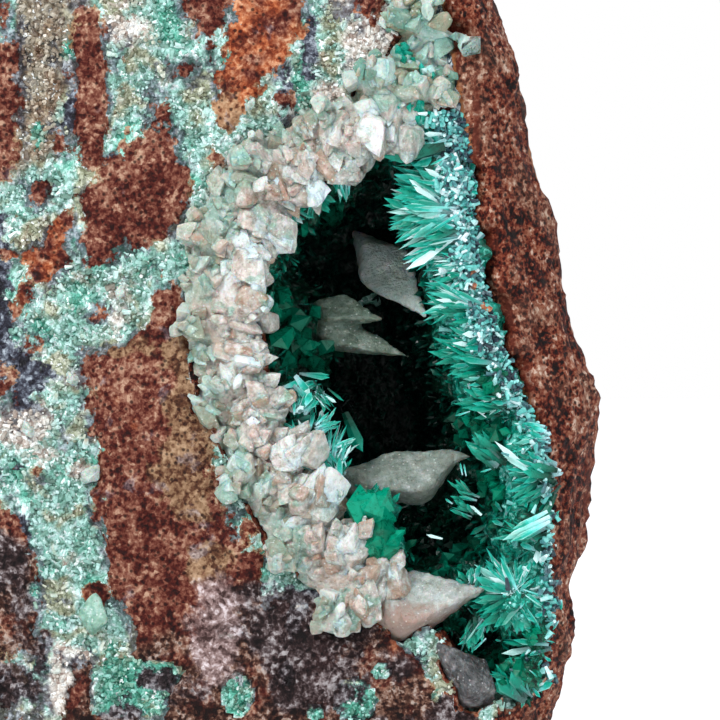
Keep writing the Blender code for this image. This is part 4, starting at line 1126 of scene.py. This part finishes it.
def buildGreenBlades():
    print("green crust: blades")
    dice = np.random.default_rng(23)
    tree = surfaceTree("annabergite_crust")
    frames, pale, block = [], [], []

    def addFrames(made, paleness, blockiness, vary=0.16):
        frames.append(made)
        pale.append(np.clip(paleness + dice.normal(0, vary, len(made)), 0, 1))
        block.append(np.full(len(made), blockiness))

    for x, z, first, last, length, count, paleness, width, outward in wallFans:
        sprays = max(2, count // 16)
        for k in range(sprays):  # each fan is a few tufts
            middle = first + (last - first) * dice.uniform(0.1, 0.9)
            left = x < 13.0 and z < 42.0
            root = fromView(x + dice.normal(0, 0.35), z + dice.normal(0, 0.45),
                            dice.uniform(-0.4, 0.5) + (1.1 if left else 0.0))
            spread = 40 if left else 24
            tone = paleness + (dice.normal(0.05, 0.3) if paleness > 0.3 else 0.0)
            addFrames(fanFrames(
                root, middle - spread, middle + spread, length * dice.uniform(0.62, 1.12),
                count // sprays, width * dice.uniform(0.5, 1.35), outward, dice),
                np.clip(tone, 0.1, 1.0), 0.0, 0.15)
    for first, last, count, length, width, paleness in rosetteParts:
        root = fromView(*rosetteRoot, 0.5)
        made = fanFrames(root, first, last, length, count, width, 0.3, dice)
        addFrames(made, paleness, 0.0)
    for x, z, tipX, tipZ, width, paleness, inFront in largeBlades:
        root, tip = fromView(x, z, inFront), fromView(tipX, tipZ, inFront + 0.2)
        made = standingFrames(root[None], (tip - root)[None], np.array([math.pi / 2 + 0.2]),
                              [np.linalg.norm(tip - root)], [width], [width * 0.3])
        addFrames(made, paleness, 0.0, 0.0)
    for x, z, around, count, length, widthShare, bright in greenBlocks:
        for k in range(count):
            spotX, spotZ = np.array([x, z]) + dice.normal(0, around * 0.6, 2)
            place, normal = hitFromCamera(tree, spotX, spotZ)
            if z > 60.0:  # these stand among the calcite, not on the crust
                place, normal = fromView(spotX, spotZ, 1.0), np.array([0, -1.0, 0.3])
            if place is None:
                continue
            axis = unit(normal + (0, -0.5, 0) + dice.normal(0, 0.45, 3))
            size = length * dice.uniform(0.6, 1.1)
            made = standingFrames(
                (place - axis * size * 0.5)[None], axis[None], dice.uniform(0, 6.3, 1), [size],
                [size * widthShare * dice.uniform(0.7, 1.2)], [size * widthShare * 0.7])
            addFrames(made, bright, 0.0 if z > 60.0 else 1.0, 0.1)

    def showing(centres, normals):
        # Inside the vug and on its rim; fewer where the camera never looks.
        seen = asSeen(centres)
        crowded = np.zeros(len(centres), bool)
        for x, z, around, *_ in greenBlocks:
            crowded |= np.hypot(seen[:, 0] - x, seen[:, 1] - z) < around * 1.1
        weight = np.where((normals[:, 1] < 0.25) | (asDepth(centres) > 14.0), 1.0, 0.12)
        weight = weight * (seen[:, 0] < np.array([seamX(z) for z in centres[:, 2]]) + 0.1)
        return weight * np.where(crowded & (asDepth(centres) < 9.0), 0.15, 1.0)

    count = greenLook["coverCount"]
    roots, normals = placesOnNode("annabergite_crust", count, dice, showing)
    axes = unit(normals + (0, -0.25, 0) + dice.normal(0, 0.42, (count, 3)))
    low, high = greenLook["coverLength"]
    lengths = low + (high - low) * dice.power(0.6, count)
    widths = lengths * dice.uniform(0.2, 0.42, count)
    made = standingFrames(roots - axes * (lengths * 0.4)[:, None], axes,
                          dice.uniform(0, 6.3, count), lengths, widths, widths * 0.4)
    frames.append(made)
    nearSeam = np.array([seamX(z) for z in roots[:, 2]]) - asSeen(roots)[:, 0]
    # paler near the seam and near the front, darker green deeper in: partly the crust's own pale roots, partly
    # painted shade with depth
    shallow = smoothStep(7.0, 0.5, asDepth(roots))
    whiteness = 0.1 + 0.7 * smoothStep(5.0, 1.0, nearSeam) * shallow + 0.15 * shallow
    pale.append(np.clip(whiteness + dice.normal(0, 0.14, count), 0, 1))
    block.append(np.zeros(count))

    frames = np.concatenate(frames)
    print("green crust:", len(frames), "blades")
    depth = asDepth(frames[:, :3, 3])
    return joinCopies("annabergiteBlades", bladeShape, frames, {
        "paleness": np.concatenate(pale), "block": np.concatenate(block),
        "tint": dice.uniform(0, 1, len(frames)), "deep": depth})


def buildGreenBase():
    print("green crust: base")
    base = copyOfNode("annabergite_crust", "annabergiteBase")
    applyModifier(base, "REMESH", "evenMesh", mode="VOXEL", voxel_size=greenLook["voxel"] * mm)
    applyModifier(base, "SMOOTH", "soften", factor=0.5, iterations=2)
    places, normals = placesOf(base), normalsOf(base)
    crystalline = np.abs(softNoise(places, 1.1, 71)) + 0.5 * np.abs(softNoise(places, 0.6, 72))
    inward = np.where((normals[:, 1] < 0.3) | (asDepth(places) < 1.0), 1.0, 0.2)
    rise = (-greenLook["shrink"] + 0.55 * crystalline) * inward
    setPlaces(base, places + normals * rise[:, None])
    setAttribute(base, "deep", asDepth(places))
    # brighter bed: partly its own colour, partly painted light that fades with depth behind the front
    paintedBedLight = np.full(len(places), 9.0)
    for spot in paintedBedLightSpots:
        paintedBedLight = np.minimum(paintedBedLight, spotDistance(asSeen(places), spot))
    setAttribute(base, "paintedBedLight", smoothStep(1.2, -1.0, paintedBedLight) * smoothStep(9.0, 3.0, asDepth(places)))
    activate(base)
    bpy.ops.object.shade_smooth()
    return base


def makeGreenMaterial():
    material, tree, shader = newMaterial(
        "annabergiteGreen", Specular_IOR_Level=0.2, Transmission_Weight=0.12, IOR=1.5)
    place = millimetres(tree)
    along = attributeOf(tree, "along")
    pale = attributeOf(tree, "paleness")
    tint = attributeOf(tree, "tint")
    block = attributeOf(tree, "block")
    streak = noiseAt(tree, place, 0.5, 3.0, 0.6, 0.5)
    tipward = compute(tree, "ADD", along, compute(
        tree, "MULTIPLY", compute(tree, "SUBTRACT", streak, 0.5), 0.6))
    paleRun = colourRamp(tree, tipward, [
        (0.05, shade(176, 216, 222)), (0.30, shade(120, 216, 212)), (0.52, shade(36, 186, 170)),
        (0.76, shade(0, 146, 124)), (0.96, shade(40, 182, 166))])
    deepRun = colourRamp(tree, tipward, [
        (0.1, shade(0, 54, 40)), (0.45, shade(0, 104, 84)), (0.78, shade(0, 134, 110)),
        (1.0, shade(24, 164, 142))])
    colour = mixColours(tree, between(tree, pale, 0.15, 0.85), deepRun, paleRun)
    # painted highlight: pale blades get near-white edges
    edges = compute(tree, "MULTIPLY", between(tree, attributeOf(tree, "across"), 0.55, 0.95),
                    between(tree, pale, 0.1, 0.8))
    colour = mixColours(tree, compute(tree, "MULTIPLY", edges, 0.6), colour, shade(180, 244, 236))
    white = compute(tree, "MULTIPLY", between(tree, compute(
        tree, "ADD", tint, compute(tree, "MULTIPLY", pale, 0.45)), 1.13, 1.27), 0.85)
    colour = mixColours(tree, white, colour, shade(214, 246, 246))
    blockColour = colourRamp(tree, compute(tree, "ADD", compute(
        tree, "MULTIPLY", streak, 0.6), compute(tree, "MULTIPLY", pale, 0.8)), [
        (0.25, shade(0, 40, 26)), (0.5, shade(0, 88, 64)), (0.72, shade(0, 128, 98)),
        (0.95, shade(0, 156, 124))])
    colour = mixColours(tree, block, colour, blockColour)
    # painted shade: the blades are painted darker, towards near black, the deeper they lie in the vug
    paintedDepthShade = between(tree, attributeOf(tree, "deep"), 12.0, 1.0)
    paintedDepthShade = compute(tree, "ADD", compute(tree, "MULTIPLY", paintedDepthShade, 0.9), 0.1)
    paintedShadeColour = mixColours(tree, paintedDepthShade, shade(0, 14, 9), colour)
    tree.links.new(paintedShadeColour, shader.inputs["Base Color"])
    rough = colourRamp(tree, streak, [(0.3, (0.2, 0.2, 0.2, 1)), (0.7, (0.42, 0.42, 0.42, 1))])
    tree.links.new(rough, shader.inputs["Roughness"])
    bump = addNode(tree, "Bump", {"Strength": 0.3, "Distance": 0.00008, "Height": streak})
    tree.links.new(bump.outputs[0], shader.inputs["Normal"])
    return material


def makeGreenBaseMaterial():
    material, tree, shader = newMaterial("annabergiteBed", Specular_IOR_Level=0.25)
    grains = useGroup(tree, grainGroup, Size=0.55, Lean=0.4)
    colour = colourRamp(tree, grains["Shade"], [
        (0.15, shade(0, 24, 14)), (0.45, shade(0, 58, 40)), (0.7, shade(2, 98, 72)),
        (0.95, shade(50, 160, 136))])
    bright = colourRamp(tree, grains["Shade"], [
        (0.15, shade(0, 72, 58)), (0.45, shade(0, 112, 94)), (0.7, shade(20, 152, 134)),
        (0.95, shade(140, 216, 208))])
    # brighter bed where marked: partly its own colour, partly painted light
    colour = mixColours(tree, attributeOf(tree, "paintedBedLight"), colour, bright)
    # painted shade: the bed is painted darker, towards near black, the deeper it lies in the vug
    paintedDepthShade = between(tree, attributeOf(tree, "deep"), 11.0, 0.0)
    paintedDepthShade = compute(tree, "ADD", compute(tree, "MULTIPLY", paintedDepthShade, 0.9), 0.1)
    tree.links.new(mixColours(tree, paintedDepthShade, shade(0, 9, 5), colour), shader.inputs["Base Color"])
    tree.links.new(colourRamp(tree, grains["Shade"], [
        (0.2, (0.45, 0.45, 0.45, 1)), (0.9, (0.22, 0.22, 0.22, 1))]), shader.inputs["Roughness"])
    bump = addNode(tree, "Bump", {
        "Strength": 0.6, "Distance": 0.0003, "Height": grains["Height"], "Normal": grains["Facet"]})
    tree.links.new(bump.outputs[0], shader.inputs["Normal"])
    return material


seamLook = {
    "count": 3400, "size": (0.22, 0.62), "low": 17.0, "high": 62.0, "width": 4.2,
    "lumps": [(22.9, 48.1), (23.7, 46.5), (22.5, 49.3)],  # rusty bits caught in the seam
    "lumpSize": 0.85,
}


def buildSeamGrains():
    # Pale grains at the roots of the sprays, along the seam.
    print("green crust: grains at the seam")
    dice = np.random.default_rng(53)
    tries = 9000
    x = dice.uniform(-seamLook["width"], 0.1, tries)
    z = dice.uniform(seamLook["low"], seamLook["high"], tries)
    thin = smoothStep(44.0, 36.0, z)  # fewer grains low down, where the blades are deep green
    keep = dice.uniform(0, 1, tries) < np.clip(1.1 + x * (0.32 + 0.5 * thin), 0.05 - 0.04 * thin, 1.0)
    crust, rock = surfaceTree("annabergite_crust"), surfaceTree("matrix")
    places, outs = [], []
    for out, high in zip(x[keep][:seamLook["count"]], z[keep][:seamLook["count"]]):
        hits = [hitFromCamera(tree, seamX(high) + out, high)[0] for tree in (crust, rock)]
        hits = [hit for hit in hits if hit is not None and asDepth(hit[None])[0] < 3.0]
        if hits:
            places.append(min(hits, key=lambda hit: hit[1]))
            outs.append(out)
    for spot in seamLook["lumps"]:
        places.append(fromView(*spot, 0.9))
        outs.append(0.0)
    places, x = np.array(places), np.array(outs)
    count = len(places)
    rusty = np.arange(count) >= count - len(seamLook["lumps"])
    places += dice.normal(0, 0.12, (count, 3))
    places[:, 1] -= np.where((x < -0.8) & ~rusty, dice.uniform(0, 0.8, count), 0)
    size = np.where(rusty, seamLook["lumpSize"], dice.uniform(*seamLook["size"], count))
    frames = standingFrames(places, unit((0, -0.7, 0) + dice.normal(0, 0.7, (count, 3))), dice.uniform(0, 6.3, count),
                            size * np.where(rusty, 1.0, dice.uniform(0.8, 2.2, count)), size * 0.8,
                            size * 0.7)
    return joinCopies("seamGrains", grainShape, frames, {
        "rusty": rusty.astype(float),
        "tint": np.clip(dice.uniform(0, 1, count) - 0.35 * smoothStep(-0.9, 0.2, x)
                        - 0.14 * smoothStep(44.0, 36.0, places[:, 2]), 0, 1)})


def makeSeamMaterial():
    material, tree, shader = newMaterial("seamCyan", Specular_IOR_Level=0.4, Transmission_Weight=0.1, IOR=1.6)
    place = millimetres(tree)
    fine = noiseAt(tree, place, 0.35, 3.0, 0.6)
    toned = compute(tree, "ADD", compute(tree, "MULTIPLY", attributeOf(tree, "tint"), 0.7),
                    compute(tree, "MULTIPLY", noiseAt(tree, place, 1.8, 3.0, 0.6), 0.5))
    toned = compute(tree, "ADD", toned, compute(tree, "MULTIPLY", compute(tree, "SUBTRACT", fine, 0.5), 0.4))
    colour = colourRamp(tree, toned, [
        (0.22, shade(30, 44, 58)), (0.38, shade(70, 128, 134)), (0.52, shade(84, 182, 174)),
        (0.70, shade(140, 214, 210)), (0.90, shade(226, 242, 246))])
    colour = mixColours(tree, attributeOf(tree, "rusty"), colour, colourRamp(tree, fine, [
        (0.35, shade(104, 52, 30)), (0.5, shade(170, 98, 62)), (0.65, shade(206, 150, 116))]))
    tree.links.new(colour, shader.inputs["Base Color"])
    rough = colourRamp(tree, fine, [(0.3, (0.3, 0.3, 0.3, 1)), (0.7, (0.5, 0.5, 0.5, 1))])
    tree.links.new(rough, shader.inputs["Roughness"])
    return material


finishPiece(buildSeamGrains(), makeSeamMaterial(), "annabergite")
greenBase = finishPiece(buildGreenBase(), makeGreenBaseMaterial(), "annabergite", "annabergite_crust")
greenBlades = finishPiece(buildGreenBlades(), makeGreenMaterial(), "annabergite")

# Calcite

calciteLook = {
    "voxel": 0.34, "rimCrystals": 120, "rimLength": (3.2, 5.4), "bandCrystals": 420,
    "length": (1.6, 3.6), "pointVoxel": 0.17, "pointRelief": 0.13,
}
vugEdge = [  # the mouth of the vug in the view
    (17.6, 61.6), (21.2, 59.2), (22.8, 54.0), (23.8, 48.0), (25.4, 42.4), (27.8, 36.8),
    (28.8, 31.4), (28.6, 26.0), (28.8, 20.4), (27.2, 15.4), (23.8, 16.2), (20.6, 20.4),
    (15.8, 23.6), (12.2, 28.0), (9.2, 34.4), (6.4, 40.4), (5.4, 47.0), (6.6, 53.0), (11.4, 57.4)]


def fromVug(places):
    # Distance (mm) out from the mouth of the vug, below zero over it.
    return outlineDistance(asSeen(places), vugEdge)


def frostRelief(obj, amount, seed):
    # Uneven growth on the faces.
    places, normals = placesOf(obj), normalsOf(obj)
    rise = amount * (0.7 * roughNoise(places, 1.1, seed) + 0.5 * softNoise(places, 0.4, seed + 9))
    setPlaces(obj, places + normals * rise[:, None])


def buildCalciteBand():
    print("calcite band")
    band = copyOfNode("calcite_crust", "calciteBand")
    applyModifier(band, "REMESH", "evenMesh", mode="VOXEL", voxel_size=calciteLook["voxel"] * mm)
    applyModifier(band, "SMOOTH", "soften", factor=0.5, iterations=4)
    frostRelief(band, 0.28, 80)
    places, normals = placesOf(band), normalsOf(band)
    outer = smoothStep(1.8, 4.6, fromVug(places)) * smoothStep(0.1, -0.4, normals[:, 1])
    past = asSeen(places)[:, 0] - np.array([seamX(z) for z in places[:, 2]])
    outer = np.maximum(outer, 2.6 * smoothStep(-1.4, 0.2, past))
    setPlaces(band, places + normals * (-0.45 * outer)[:, None])  # it thins out away from the vug
    markCalcite(band)
    setAttribute(band, "tint", np.clip(0.5 + 0.4 * softNoise(places, 2.2, 82), 0, 1))
    activate(band)
    bpy.ops.object.shade_smooth()
    return band


def markCalcite(obj):
    places = placesOf(obj)
    setAttribute(obj, "fromVug", fromVug(places))
    setAttribute(obj, "upper", smoothStep(60.0, 65.0, places[:, 2]))


def buildBandCrystals():
    # Large points towards the vug along its rim, and smaller ones all over the band.
    dice = np.random.default_rng(37)
    frames = []
    for count, (low, high), overVug in (
            (calciteLook["rimCrystals"], calciteLook["rimLength"], True),
            (calciteLook["bandCrystals"], calciteLook["length"], False)):

        def upward(centres, normals):
            shows = np.clip(-normals[:, 1], 0.0, 1.0) + 0.1 * (normals[:, 1] < 0.3)
            seams = np.array([seamX(high) for high in centres[:, 2]])
            shows = shows * (asSeen(centres)[:, 0] < seams - 1.0)
            return shows * (smoothStep(2.4, 0.4, fromVug(centres)) if overVug else 1.0)

        roots, normals = placesOnNode("calcite_crust", count, dice, upward)
        toVug = unit(np.stack([16.0 - roots[:, 0], np.zeros(count), 42.0 - roots[:, 2]], axis=1))
        lean = dice.uniform(0.7, 1.3, count) if overVug else dice.uniform(-0.3, 0.7, count)
        axes = unit(normals * 0.35 + toVug * lean[:, None] + (0, -0.5, 0)
                    + dice.normal(0, 0.26 if overVug else 0.4, (count, 3)))
        lengths = low + (high - low) * dice.power(0.8, count)
        widths = lengths * dice.uniform(0.5, 0.8, count)
        sunk = 0.64 if overVug else 0.66
        frames.append(standingFrames(roots - axes * (lengths * sunk)[:, None], axes,
                                     dice.uniform(0, 6.3, count), lengths, widths, widths * 0.9))
    frames = np.concatenate(frames)
    crystals = joinCopies("calciteBandCrystals", calcitePointShape, frames, {
        "tint": dice.uniform(0, 1, len(frames))})
    applyModifier(crystals, "SUBSURF", "finer", subdivision_type="SIMPLE", levels=2, render_levels=2)
    applyModifier(crystals, "SMOOTH", "wornEdges", factor=0.6, iterations=2)
    frostRelief(crystals, 0.17, 84)
    markCalcite(crystals)
    activate(crystals)
    bpy.ops.object.shade_smooth_by_angle(angle=math.radians(30))
    return crystals


pointShifts = {  # where the points are fuller or flatter: x, z, reach, shift in x, shift in z
    "largePoint": [(14.8, 36.0, 2.4, 0.0, -1.1), (18.6, 32.0, 2.4, 0.6, -2.0), (13.6, 33.0, 1.9, 0.0, -0.9),
                   (20.6, 35.0, 1.6, 0.0, 0.5)],
    "upperPoint": [(15.4, 48.2, 1.6, -0.3, -0.3), (17.6, 50.0, 1.6, 0.4, 0.2)],
    "frontPoint": [(18.0, 22.6, 2.0, 0.3, -0.3), (18.4, 26.4, 1.8, 0.0, 0.3)],
}


def buildPoint(nodeName, name, seed):
    point = copyOfNode(nodeName, name)
    applyModifier(point, "REMESH", "evenMesh", mode="VOXEL", voxel_size=calciteLook["pointVoxel"] * mm)
    applyModifier(point, "SMOOTH", "wornEdges", factor=0.5, iterations=6)
    places = placesOf(point)
    seen = asSeen(places)
    for x, z, reach, acrossBy, upBy in pointShifts.get(name, []):
        share = np.exp(-((seen[:, 0] - x) ** 2 + (seen[:, 1] - z) ** 2) / reach ** 2)
        places += share[:, None] * np.array([acrossBy, 0.0, upBy])
    setPlaces(point, places)
    frostRelief(point, calciteLook["pointRelief"], seed)
    activate(point)
    bpy.ops.object.shade_smooth_by_angle(angle=math.radians(40))
    return point


def makeCalciteMaterial(name, colours, stain, sugar, transmission, blush=None):
    # Frosted calcite: milky inside, pitted, with stains.
    material, tree, shader = newMaterial(
        name, Specular_IOR_Level=0.5, Transmission_Weight=transmission, IOR=1.6,
        Subsurface_Weight=0.45, Subsurface_Scale=0.0012)
    place = millimetres(tree)
    cloud = noiseAt(tree, place, 1.6, 4.0, 0.62, 0.5)
    grainy = noiseAt(tree, place, 0.55, 3.0, 0.65, 0.3)
    cloud = compute(tree, "ADD", compute(tree, "MULTIPLY", cloud, 0.5), compute(tree, "MULTIPLY", grainy, 0.5))
    colour = colourRamp(tree, cloud, [
        (0.36, colours[0]), (0.46, colours[1]), (0.55, colours[2]), (0.66, colours[3])])
    if stain:
        # greyer where it is clear, over the vug; stained and mossy further out
        outwards = attributeOf(tree, "fromVug")
        upper = attributeOf(tree, "upper")
        clear = between(tree, outwards, 1.4, -0.4)
        colour = mixColours(tree, compute(tree, "MULTIPLY", clear, 0.75), colour, colourRamp(tree, cloud, [
            (0.36, shade(128, 134, 126)), (0.5, shade(184, 188, 182)), (0.66, shade(240, 242, 240))]))
        stained = compute(tree, "ADD", noiseAt(tree, place, 3.0, 3.0, 0.6, 0.8), compute(
            tree, "MULTIPLY", between(tree, outwards, 1.0, 4.0), 0.08))
        stained = between(tree, stained, 0.57, 0.70)
        colour = mixColours(tree, compute(tree, "MULTIPLY", stained, 0.55), colour, stain[0])
        mossy = compute(tree, "ADD", noiseAt(tree, place, 2.2, 3.0, 0.6, 0.5), compute(
            tree, "MULTIPLY", compute(tree, "MAXIMUM", between(tree, outwards, 2.2, 5.0), upper), 0.16))
        mossy = between(tree, mossy, 0.56, 0.66)
        mossColour = colourRamp(tree, noiseAt(tree, place, 0.6, 3.0, 0.65), [
            (0.32, shade(84, 128, 108)), (0.5, shade(136, 178, 160)), (0.68, shade(206, 230, 222))])
        colour = mixColours(tree, compute(tree, "MULTIPLY", mossy, 0.85), colour, mossColour)
        # each crystal of the upper zone has a tone of its own
        tint = addNode(tree, "Math", {0: attributeOf(tree, "tint"), 1: compute(
            tree, "MULTIPLY", compute(tree, "SUBTRACT", cloud, 0.5), 0.8)}, operation="ADD").outputs[0]
        own = colourRamp(tree, tint, [
            (0.05, shade(96, 150, 132)), (0.25, shade(150, 204, 190)), (0.42, shade(206, 228, 222)),
            (0.56, shade(226, 220, 212)), (0.70, shade(178, 156, 130)), (0.84, shade(124, 136, 104)),
            (0.96, shade(170, 206, 190))])
        colour = mixColours(tree, compute(tree, "MULTIPLY", upper, 0.65), colour, own)
        inner = compute(tree, "SUBTRACT", 1.0, upper, clamp=True)
        # painted highlight: some crystals of the inner band painted near white
        colour = mixColours(tree, compute(
            tree, "MULTIPLY", between(tree, tint, 0.68, 0.95), compute(tree, "MULTIPLY", inner, 0.75)),
            colour, shade(250, 250, 250))
        colour = mixColours(tree, compute(
            tree, "MULTIPLY", between(tree, tint, 0.24, 0.04), compute(tree, "MULTIPLY", inner, 0.6)),
            colour, shade(172, 132, 104))
        outer = between(tree, outwards, 2.6, 5.0)
        colour = mixColours(tree, compute(tree, "MULTIPLY", outer, 0.4), colour, own)
    if blush:
        high = addNode(tree, "SeparateXYZ", {0: place}).outputs[2]
        high = compute(tree, "ADD", high, compute(tree, "MULTIPLY", cloud, 4.0))
        blushed = between(tree, high, blush[0] + 2.0, blush[1] + 2.0)
        colour = mixColours(tree, compute(tree, "MULTIPLY", blushed, 0.8), colour, blush[2])
    specks = cellsAt(tree, place, 0.62).outputs["Distance"]
    pits = compute(tree, "MULTIPLY", between(tree, specks, 0.16, 0.05), 0.55)
    colour = mixColours(tree, pits, colour, shade(92, 82, 70))
    # painted glints: tiny specks painted near white
    crumbs = cellsAt(tree, place, 0.36).outputs["Distance"]
    sparkle = compute(tree, "MULTIPLY", between(tree, crumbs, 0.28, 0.12), between(
        tree, noiseAt(tree, place, 0.9, 2.0), 0.44, 0.56))
    colour = mixColours(tree, compute(tree, "MULTIPLY", sparkle, 0.7), colour, shade(238, 244, 242))
    tree.links.new(colour, shader.inputs["Base Color"])
    fine = noiseAt(tree, place, 0.22, 3.0, 0.65)
    rough = colourRamp(tree, fine, [(0.3, (0.26, 0.26, 0.26, 1)), (0.7, (0.55, 0.55, 0.55, 1))])
    tree.links.new(rough, shader.inputs["Roughness"])
    bump = addNode(tree, "Bump", {"Strength": sugar, "Distance": 0.0003, "Height": compute(
        tree, "ADD", fine, grainy)})
    tree.links.new(bump.outputs[0], shader.inputs["Normal"])
    return material


bandMaterial = makeCalciteMaterial(
    "calciteRim", [shade(132, 120, 108), shade(188, 176, 166), shade(220, 210, 202), shade(242, 240, 238)],
    [shade(180, 140, 114)], 0.9, 0.12)
clearMaterial = makeCalciteMaterial(
    "calcitePoints", [shade(104, 118, 106), shade(136, 150, 140), shade(160, 172, 164), shade(206, 214, 210)],
    None, 0.7, 0.3)
middleMaterial = makeCalciteMaterial(
    "calciteMiddle", [shade(60, 80, 66), shade(94, 116, 100), shade(128, 146, 132), shade(176, 190, 180)],
    None, 0.7, 0.35)
frontMaterial = makeCalciteMaterial(
    "calciteFront", [shade(134, 144, 136), shade(170, 180, 174), shade(194, 202, 198), shade(228, 234, 232)],
    None, 0.7, 0.3, (24.4, 22.4, shade(176, 142, 128)))
upperMaterial = makeCalciteMaterial(
    "calciteUpper", [shade(148, 170, 160), shade(186, 206, 198), shade(212, 226, 220), shade(240, 246, 244)],
    None, 0.8, 0.3)
mintMaterial = makeCalciteMaterial(
    "calciteMint", [shade(92, 142, 122), shade(130, 180, 160), shade(162, 204, 188), shade(220, 238, 230)],
    None, 0.4, 0.3)
smokyMaterial = makeCalciteMaterial(
    "calciteSmoky", [shade(36, 36, 38), shade(82, 82, 84), shade(128, 128, 130), shade(196, 192, 196)],
    None, 0.6, 0.4)



# Single crystals that stand in the vein stuff: x, z, length, width, lean to the side.
veinCrystals = {
    "mintCrystal": [(-7.8, 21.9, 4.4, 3.6, 0.1)],
    "paleVeinCrystals": [
        (-5.8, 47.8, 1.8, 1.1, 0.3), (-9.0, 40.9, 1.7, 1.2, -0.6), (-8.7, 33.4, 2.6, 1.9, 0.9),
        (-12.6, 36.8, 1.8, 1.3, -0.4), (4.4, 62.8, 1.6, 1.0, 0.6)],
}


def buildVeinCrystals(name):
    print("crystals in the veins:", name)
    tree = surfaceTree("matrix")
    frames = []
    for k, (x, z, length, width, lean) in enumerate(veinCrystals[name]):
        place, normal = hitFromCamera(tree, x, z - length * 0.4)
        axis = unit(np.array([lean, -0.35, 1.0]))
        frames.append(standingFrames((place + normal * 0.1)[None], axis[None], np.array([0.4 + k]),
                                     [length], [width], [width * 0.8]))
    piece = joinCopies(name, calcitePointShape, np.concatenate(frames), {})
    applyModifier(piece, "SUBSURF", "finer", subdivision_type="SIMPLE", levels=3, render_levels=3)
    applyModifier(piece, "SMOOTH", "wornEdges", factor=0.6, iterations=10)
    frostRelief(piece, 0.12, 97)
    activate(piece)
    bpy.ops.object.shade_smooth_by_angle(angle=math.radians(35))
    return piece


finishPiece(buildVeinCrystals("mintCrystal"), mintMaterial, "calcite_band")
finishPiece(buildVeinCrystals("paleVeinCrystals"), upperMaterial, "calcite_band")
finishPiece(buildCalciteBand(), bandMaterial, "calcite_band", "calcite_crust")
finishPiece(buildBandCrystals(), bandMaterial, "calcite_band")
print("calcite points")
for seed, (nodeName, name, material, slot) in enumerate([
        ("calcite_crystal_upper", "upperPoint", upperMaterial, "calcite"),
        ("calcite_crystals_middle", "middlePoints", middleMaterial, "calcite"),
        ("calcite_crystal_large", "largePoint", clearMaterial, "calcite"),
        ("calcite_crystal_front", "frontPoint", frontMaterial, "calcite"),
        ("calcite_crystal_smoky", "smokyPoint", smokyMaterial, "smoky_calcite")]):
    finishPiece(buildPoint(nodeName, name, 90 + 3 * seed), material, slot, nodeName)

for shape in (bladeShape, calcitePointShape, grainShape):
    removeShape(shape)

# Studio

studio = {
    "floorSize": 6000.0,
    "skyLow": 0.30, "skyHigh": 1.35,  # brightness of the room at eye level and overhead
    "keyPower": 1.5, "keyPlace": (-190, -330, 330), "keySize": 130,
    "fillPower": 0.5, "fillPlace": (330, -420, 120), "fillSize": 320,
}


def addAreaLight(name, power, place, size):
    clearSelection()
    bpy.ops.object.light_add(type="AREA", location=Vector(place) * mm)
    light = bpy.context.object
    light.name = name
    light.data.energy = power
    light.data.size = size * mm
    towards = Vector((5, -10, 42)) * mm - light.location
    light.rotation_euler = towards.to_track_quat("-Z", "Y").to_euler()


def buildStudio():
    print("studio")
    clearSelection()
    bpy.ops.mesh.primitive_plane_add(size=studio["floorSize"] * mm, location=(0, 0, -0.05 * mm))
    floor = bpy.context.object
    floor.name = "studioFloor"
    material, tree, shader = newMaterial("paleFloor", Roughness=0.9)
    paper = noiseAt(tree, millimetres(tree), 40.0, 3.0)
    tree.links.new(colourRamp(tree, paper, [(0.2, (0.93, 0.93, 0.93, 1)), (0.8, (0.95, 0.95, 0.95, 1))]),
                   shader.inputs["Base Color"])
    floor.data.materials.append(material)

    addAreaLight("keyLight", studio["keyPower"], studio["keyPlace"], studio["keySize"])
    addAreaLight("fillLight", studio["fillPower"], studio["fillPlace"], studio["fillSize"])

    world = bpy.data.worlds.new("paleRoom")
    world.use_nodes = True
    bpy.context.scene.world = world
    tree = world.node_tree
    backdrop = tree.nodes["Background"]
    backdrop.inputs[0].default_value = (1, 1, 1, 1)
    backdrop.inputs[1].default_value = 1.0
    up = addNode(tree, "SeparateXYZ", {0: addNode(tree, "TexCoord").outputs["Generated"]}).outputs[2]
    rise = addNode(tree, "MapRange", {
        0: up, 1: 0.05, 2: 0.65, 3: studio["skyLow"], 4: studio["skyHigh"]}, clamp=True).outputs[0]
    soft = addNode(tree, "Background", {0: (0.95, 0.97, 1, 1), 1: rise})
    mix = addNode(tree, "MixShader", {0: addNode(tree, "LightPath").outputs["Is Camera Ray"]})
    tree.links.new(soft.outputs[0], mix.inputs[1])
    tree.links.new(backdrop.outputs[0], mix.inputs[2])
    tree.links.new(mix.outputs[0], tree.nodes["World Output"].inputs[0])

    clearSelection()
    bpy.ops.object.camera_add(location=Vector(view["camera"]) * mm, rotation=(math.pi / 2, 0, 0))
    camera = bpy.context.object
    camera.name = "camera"
    camera.data.lens = view["lens"]
    camera.data.sensor_width = 36.0
    camera.data.clip_start = 0.01
    bpy.context.scene.camera = camera
    bpy.context.scene.view_settings.view_transform = "Standard"


buildStudio()
